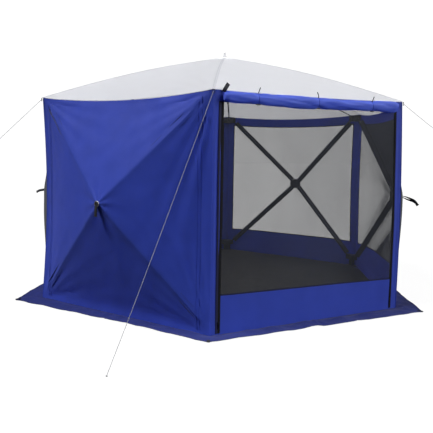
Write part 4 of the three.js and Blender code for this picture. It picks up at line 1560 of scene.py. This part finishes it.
def make_skirt():
    """The flap of cloth that lies on the ground round the walls, and its hem."""
    columns, rows = 64, 16
    total = SIDES * columns
    points, flat, faces, edge = [], [], [], []
    for k in range(SIDES):
        for i in range(columns):
            s = i / columns
            for j in range(rows + 1):
                points.append(skirt_spot(k, s, j / rows))
                flat.append((k * BASE_RADIUS + s * BASE_RADIUS, j / rows * SKIRT_REACH))
            edge.append(points[-1] + Vector((0, 0, 0.0012)))
    for i in range(total):
        for j in range(rows):
            a, b = i * (rows + 1) + j, (i + 1) % total * (rows + 1) + j
            faces.append((a, a + 1, b + 1, b))
    skirt = mesh_object("skirt", points, faces, flat, [SKIRT], thickness=0.0010)
    fit(skirt, "root", "blue_cloth")
    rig.replaces(skirt, "ground_skirt")
    length = SIDES * (BASE_RADIUS + 0.07)
    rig.sheet(skirt, flat=(0.31, length), held="laid", rests_on=["floor_sheet"], area=0.30 * length)
    fit(tube("skirt_hem", edge, HEM_RADIUS, SKIRT, closed=True), "root", "blue_cloth")


make_skirt()


def make_stake_tabs():
    """Webbing tabs at the skirt's points, for the stakes."""
    for i in range(SIDES):
        inner = BASE_RADIUS + (BLUNT_POINT if i == 0 else SKIRT_POINT) - 0.045
        path = []
        for j in range(9):
            path.append(around(inner + 0.05 * j / 8, corner_angle(i), 0.0085 + 0.004 * arch(j / 8)))
        fit(ribbon(f"stake_tab_{i + 1}", path, [UP] * 9, 0.024, 0.0018, WEBBING), "root", "black_plastic")


make_stake_tabs()


FLOOR_LAP = 0.006  # over the foot of the walls


def make_floor_sheet():
    """The rumpled floor sheet: rings of points that grow to a hexagon."""
    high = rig.box("floor_sheet")[1]
    apothem = high.y
    rows, turns = 70, 96
    flat = [(0.0, 0.0)]
    for j in range(1, rows + 1):
        for turn in turns_of(turns):
            wedge = (turn + math.pi / SIDES) % (2 * math.pi / SIDES) - math.pi / SIDES
            edge = min(apothem / math.cos(abs(wedge) - math.pi / SIDES), high.x) + FLOOR_LAP
            flat.append(tuple(Vector((math.cos(turn), math.sin(turn))) * edge * j / rows))
    points = []
    for x, y in flat:
        rumple = 0.0045 * ripple(x, y, 0.28, 70) + 0.003 * ripple(x * 0.4, y, 0.09, 71)
        points.append(Vector((x, y, 0.0030 + max(rumple + 0.002, 0))))
    faces = []
    for k in range(turns):
        n = (k + 1) % turns
        faces.append((0, 1 + k, 1 + n))
        for j in range(rows - 1):
            a, b = 1 + j * turns, 1 + (j + 1) * turns
            faces.append((a + k, b + k, b + n, a + n))
    sheet = mesh_object("floor_cloth_sheet", points, faces, flat, [FLOOR])
    fit(sheet, "root", "floor_cloth")
    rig.replaces(sheet, "floor_sheet")
    wide, tall = 2 * high.x, 2 * apothem
    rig.sheet(sheet, flat=(wide, tall), held="laid", rests_on=["skirt"], area=0.74 * wide * tall)


make_floor_sheet()


# ---- Guy ropes ----
def make_rope_piece(node, points):
    """A braided rope along its route, with a knot at its far end."""
    path = smooth_path(points, 0.006)
    rope = tube(f"rope_{node}", path, ROPE_RADIUS, ROPE, 12, twist=520.0, lobes=6)
    length = sum((b - a).length for a, b in zip(path, path[1:]))
    fit(rope, "root", "rope")
    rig.replaces(rope, f"guy_rope_{node}")
    end = path[-1]
    along = (path[-1] - path[-6]).normalized()
    side = along.orthogonal().normalized()
    other = along.cross(side)
    knot_path = []
    for turn in turns_of(48):
        ring = 0.0034 + 0.0016 * math.cos(3 * turn)
        spoke = side * math.cos(2 * turn) + other * math.sin(2 * turn)
        knot_path.append(end + spoke * ring + along * 0.0026 * math.sin(3 * turn))
    knot = tube(f"rope_knot_{node}", knot_path, 0.0017, ROPE, 8, closed=True)
    fit(knot, "root", "rope")
    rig.cord(rope, exit=points[0], length=length, diameter=2 * ROPE_RADIUS, far_end="knot", stiffness="limp",
            lay="taut", path=path, with_pieces=[knot])


for rope_name, route in (("front", FRONT_ROPE), ("left", LEFT_ROPE), ("right", RIGHT_ROPE)):
    make_rope_piece(rope_name, route)


# ---- Materials of the frame's own parts ----
for node_name, part in frame["nodes"].items():
    if "pole" in node_name:
        finish, finish_slot = POLE, "pole_fibre"
    elif "slider" in node_name:
        finish, finish_slot = BLACK_METAL, "zip_metal"
    elif "hub" in node_name:
        finish, finish_slot = PLASTIC, "black_plastic"
    else:
        continue
    part.data.materials.clear()
    part.data.materials.append(finish)
    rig.slot(part, finish_slot)


# ---- Studio ----
WORLD_LIGHT, WORLD_SEEN = 0.045, 1.05
FLOOR_BOUNCE = 0.045  # what the floor gives back to the object, though the camera sees it white
FLOOR_GLOW, FLOOR_MATT = 0.94, 0.08  # what the camera sees: its own light, and a little of the shadows
FLOOR_HALF, FLOOR_LEVEL = 40.0, -0.001
# Name, azimuth and elevation in degrees, energy and angular size in degrees.
LAMPS = (("key_light", 170, 58, 4.1, 18), ("fill_light", 318, 31, 3.0, 40))


def make_studio_floor():
    mesh = bpy.data.meshes.new("studio_floor")
    signs = ((-1, -1), (1, -1), (1, 1), (-1, 1))
    mesh.from_pydata([(x * FLOOR_HALF, y * FLOOR_HALF, FLOOR_LEVEL) for x, y in signs], [], [(0, 1, 2, 3)])
    floor = link_object("studio_floor", mesh)
    pale = Shader("studio_floor", (FLOOR_BOUNCE,) * 3, 0.9)
    pale.set(Specular_IOR_Level=0.0)
    seen = pale.add("LightPath").outputs["Is Camera Ray"]
    glow = pale.add("Emission", {"Strength": FLOOR_GLOW})
    matt = pale.add("BsdfDiffuse", {"Color": (FLOOR_MATT, FLOOR_MATT, FLOOR_MATT, 1)})
    bright = pale.add("AddShader", {0: glow.outputs[0], 1: matt.outputs[0]})
    pale.mix_in(seen, bright)
    mesh.materials.append(pale.material)
    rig.stage(floor)


def make_world():
    """A white backdrop for the camera, which lights the object only faintly."""
    world = bpy.data.worlds.new("studio")
    world.use_nodes = True
    tree = world.node_tree
    tree.nodes.clear()
    out = tree.nodes.new("ShaderNodeOutputWorld")
    backdrop = tree.nodes.new("ShaderNodeBackground")
    backdrop.inputs["Color"].default_value = (1, 1, 1, 1)
    path = tree.nodes.new("ShaderNodeLightPath")
    strength = tree.nodes.new("ShaderNodeMapRange")
    strength.inputs["To Min"].default_value = WORLD_LIGHT
    strength.inputs["To Max"].default_value = WORLD_SEEN
    tree.links.new(path.outputs["Is Camera Ray"], strength.inputs["Value"])
    tree.links.new(strength.outputs[0], backdrop.inputs["Strength"])
    tree.links.new(backdrop.outputs[0], out.inputs["Surface"])
    bpy.context.scene.world = world


def make_lamp(name, azimuth, elevation, power, spread):
    lamp = bpy.data.lights.new(name, "SUN")
    lamp.energy = power
    lamp.angle = math.radians(spread)
    made = link_object(name, lamp)
    a, e = math.radians(azimuth), math.radians(elevation)
    towards = Vector((math.cos(a) * math.cos(e), math.sin(a) * math.cos(e), math.sin(e)))
    made.rotation_mode = "QUATERNION"
    made.rotation_quaternion = towards.to_track_quat("Z", "Y")


make_studio_floor()
make_world()
for lamp_facts in LAMPS:
    make_lamp(*lamp_facts)
bpy.context.scene.view_settings.view_transform = "Standard"

visual_box = [list(corner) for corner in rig.bounds()]
with open("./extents.json", "w") as size_file:
    json.dump({"cad": CAD_BOX, "visual": visual_box}, size_file)
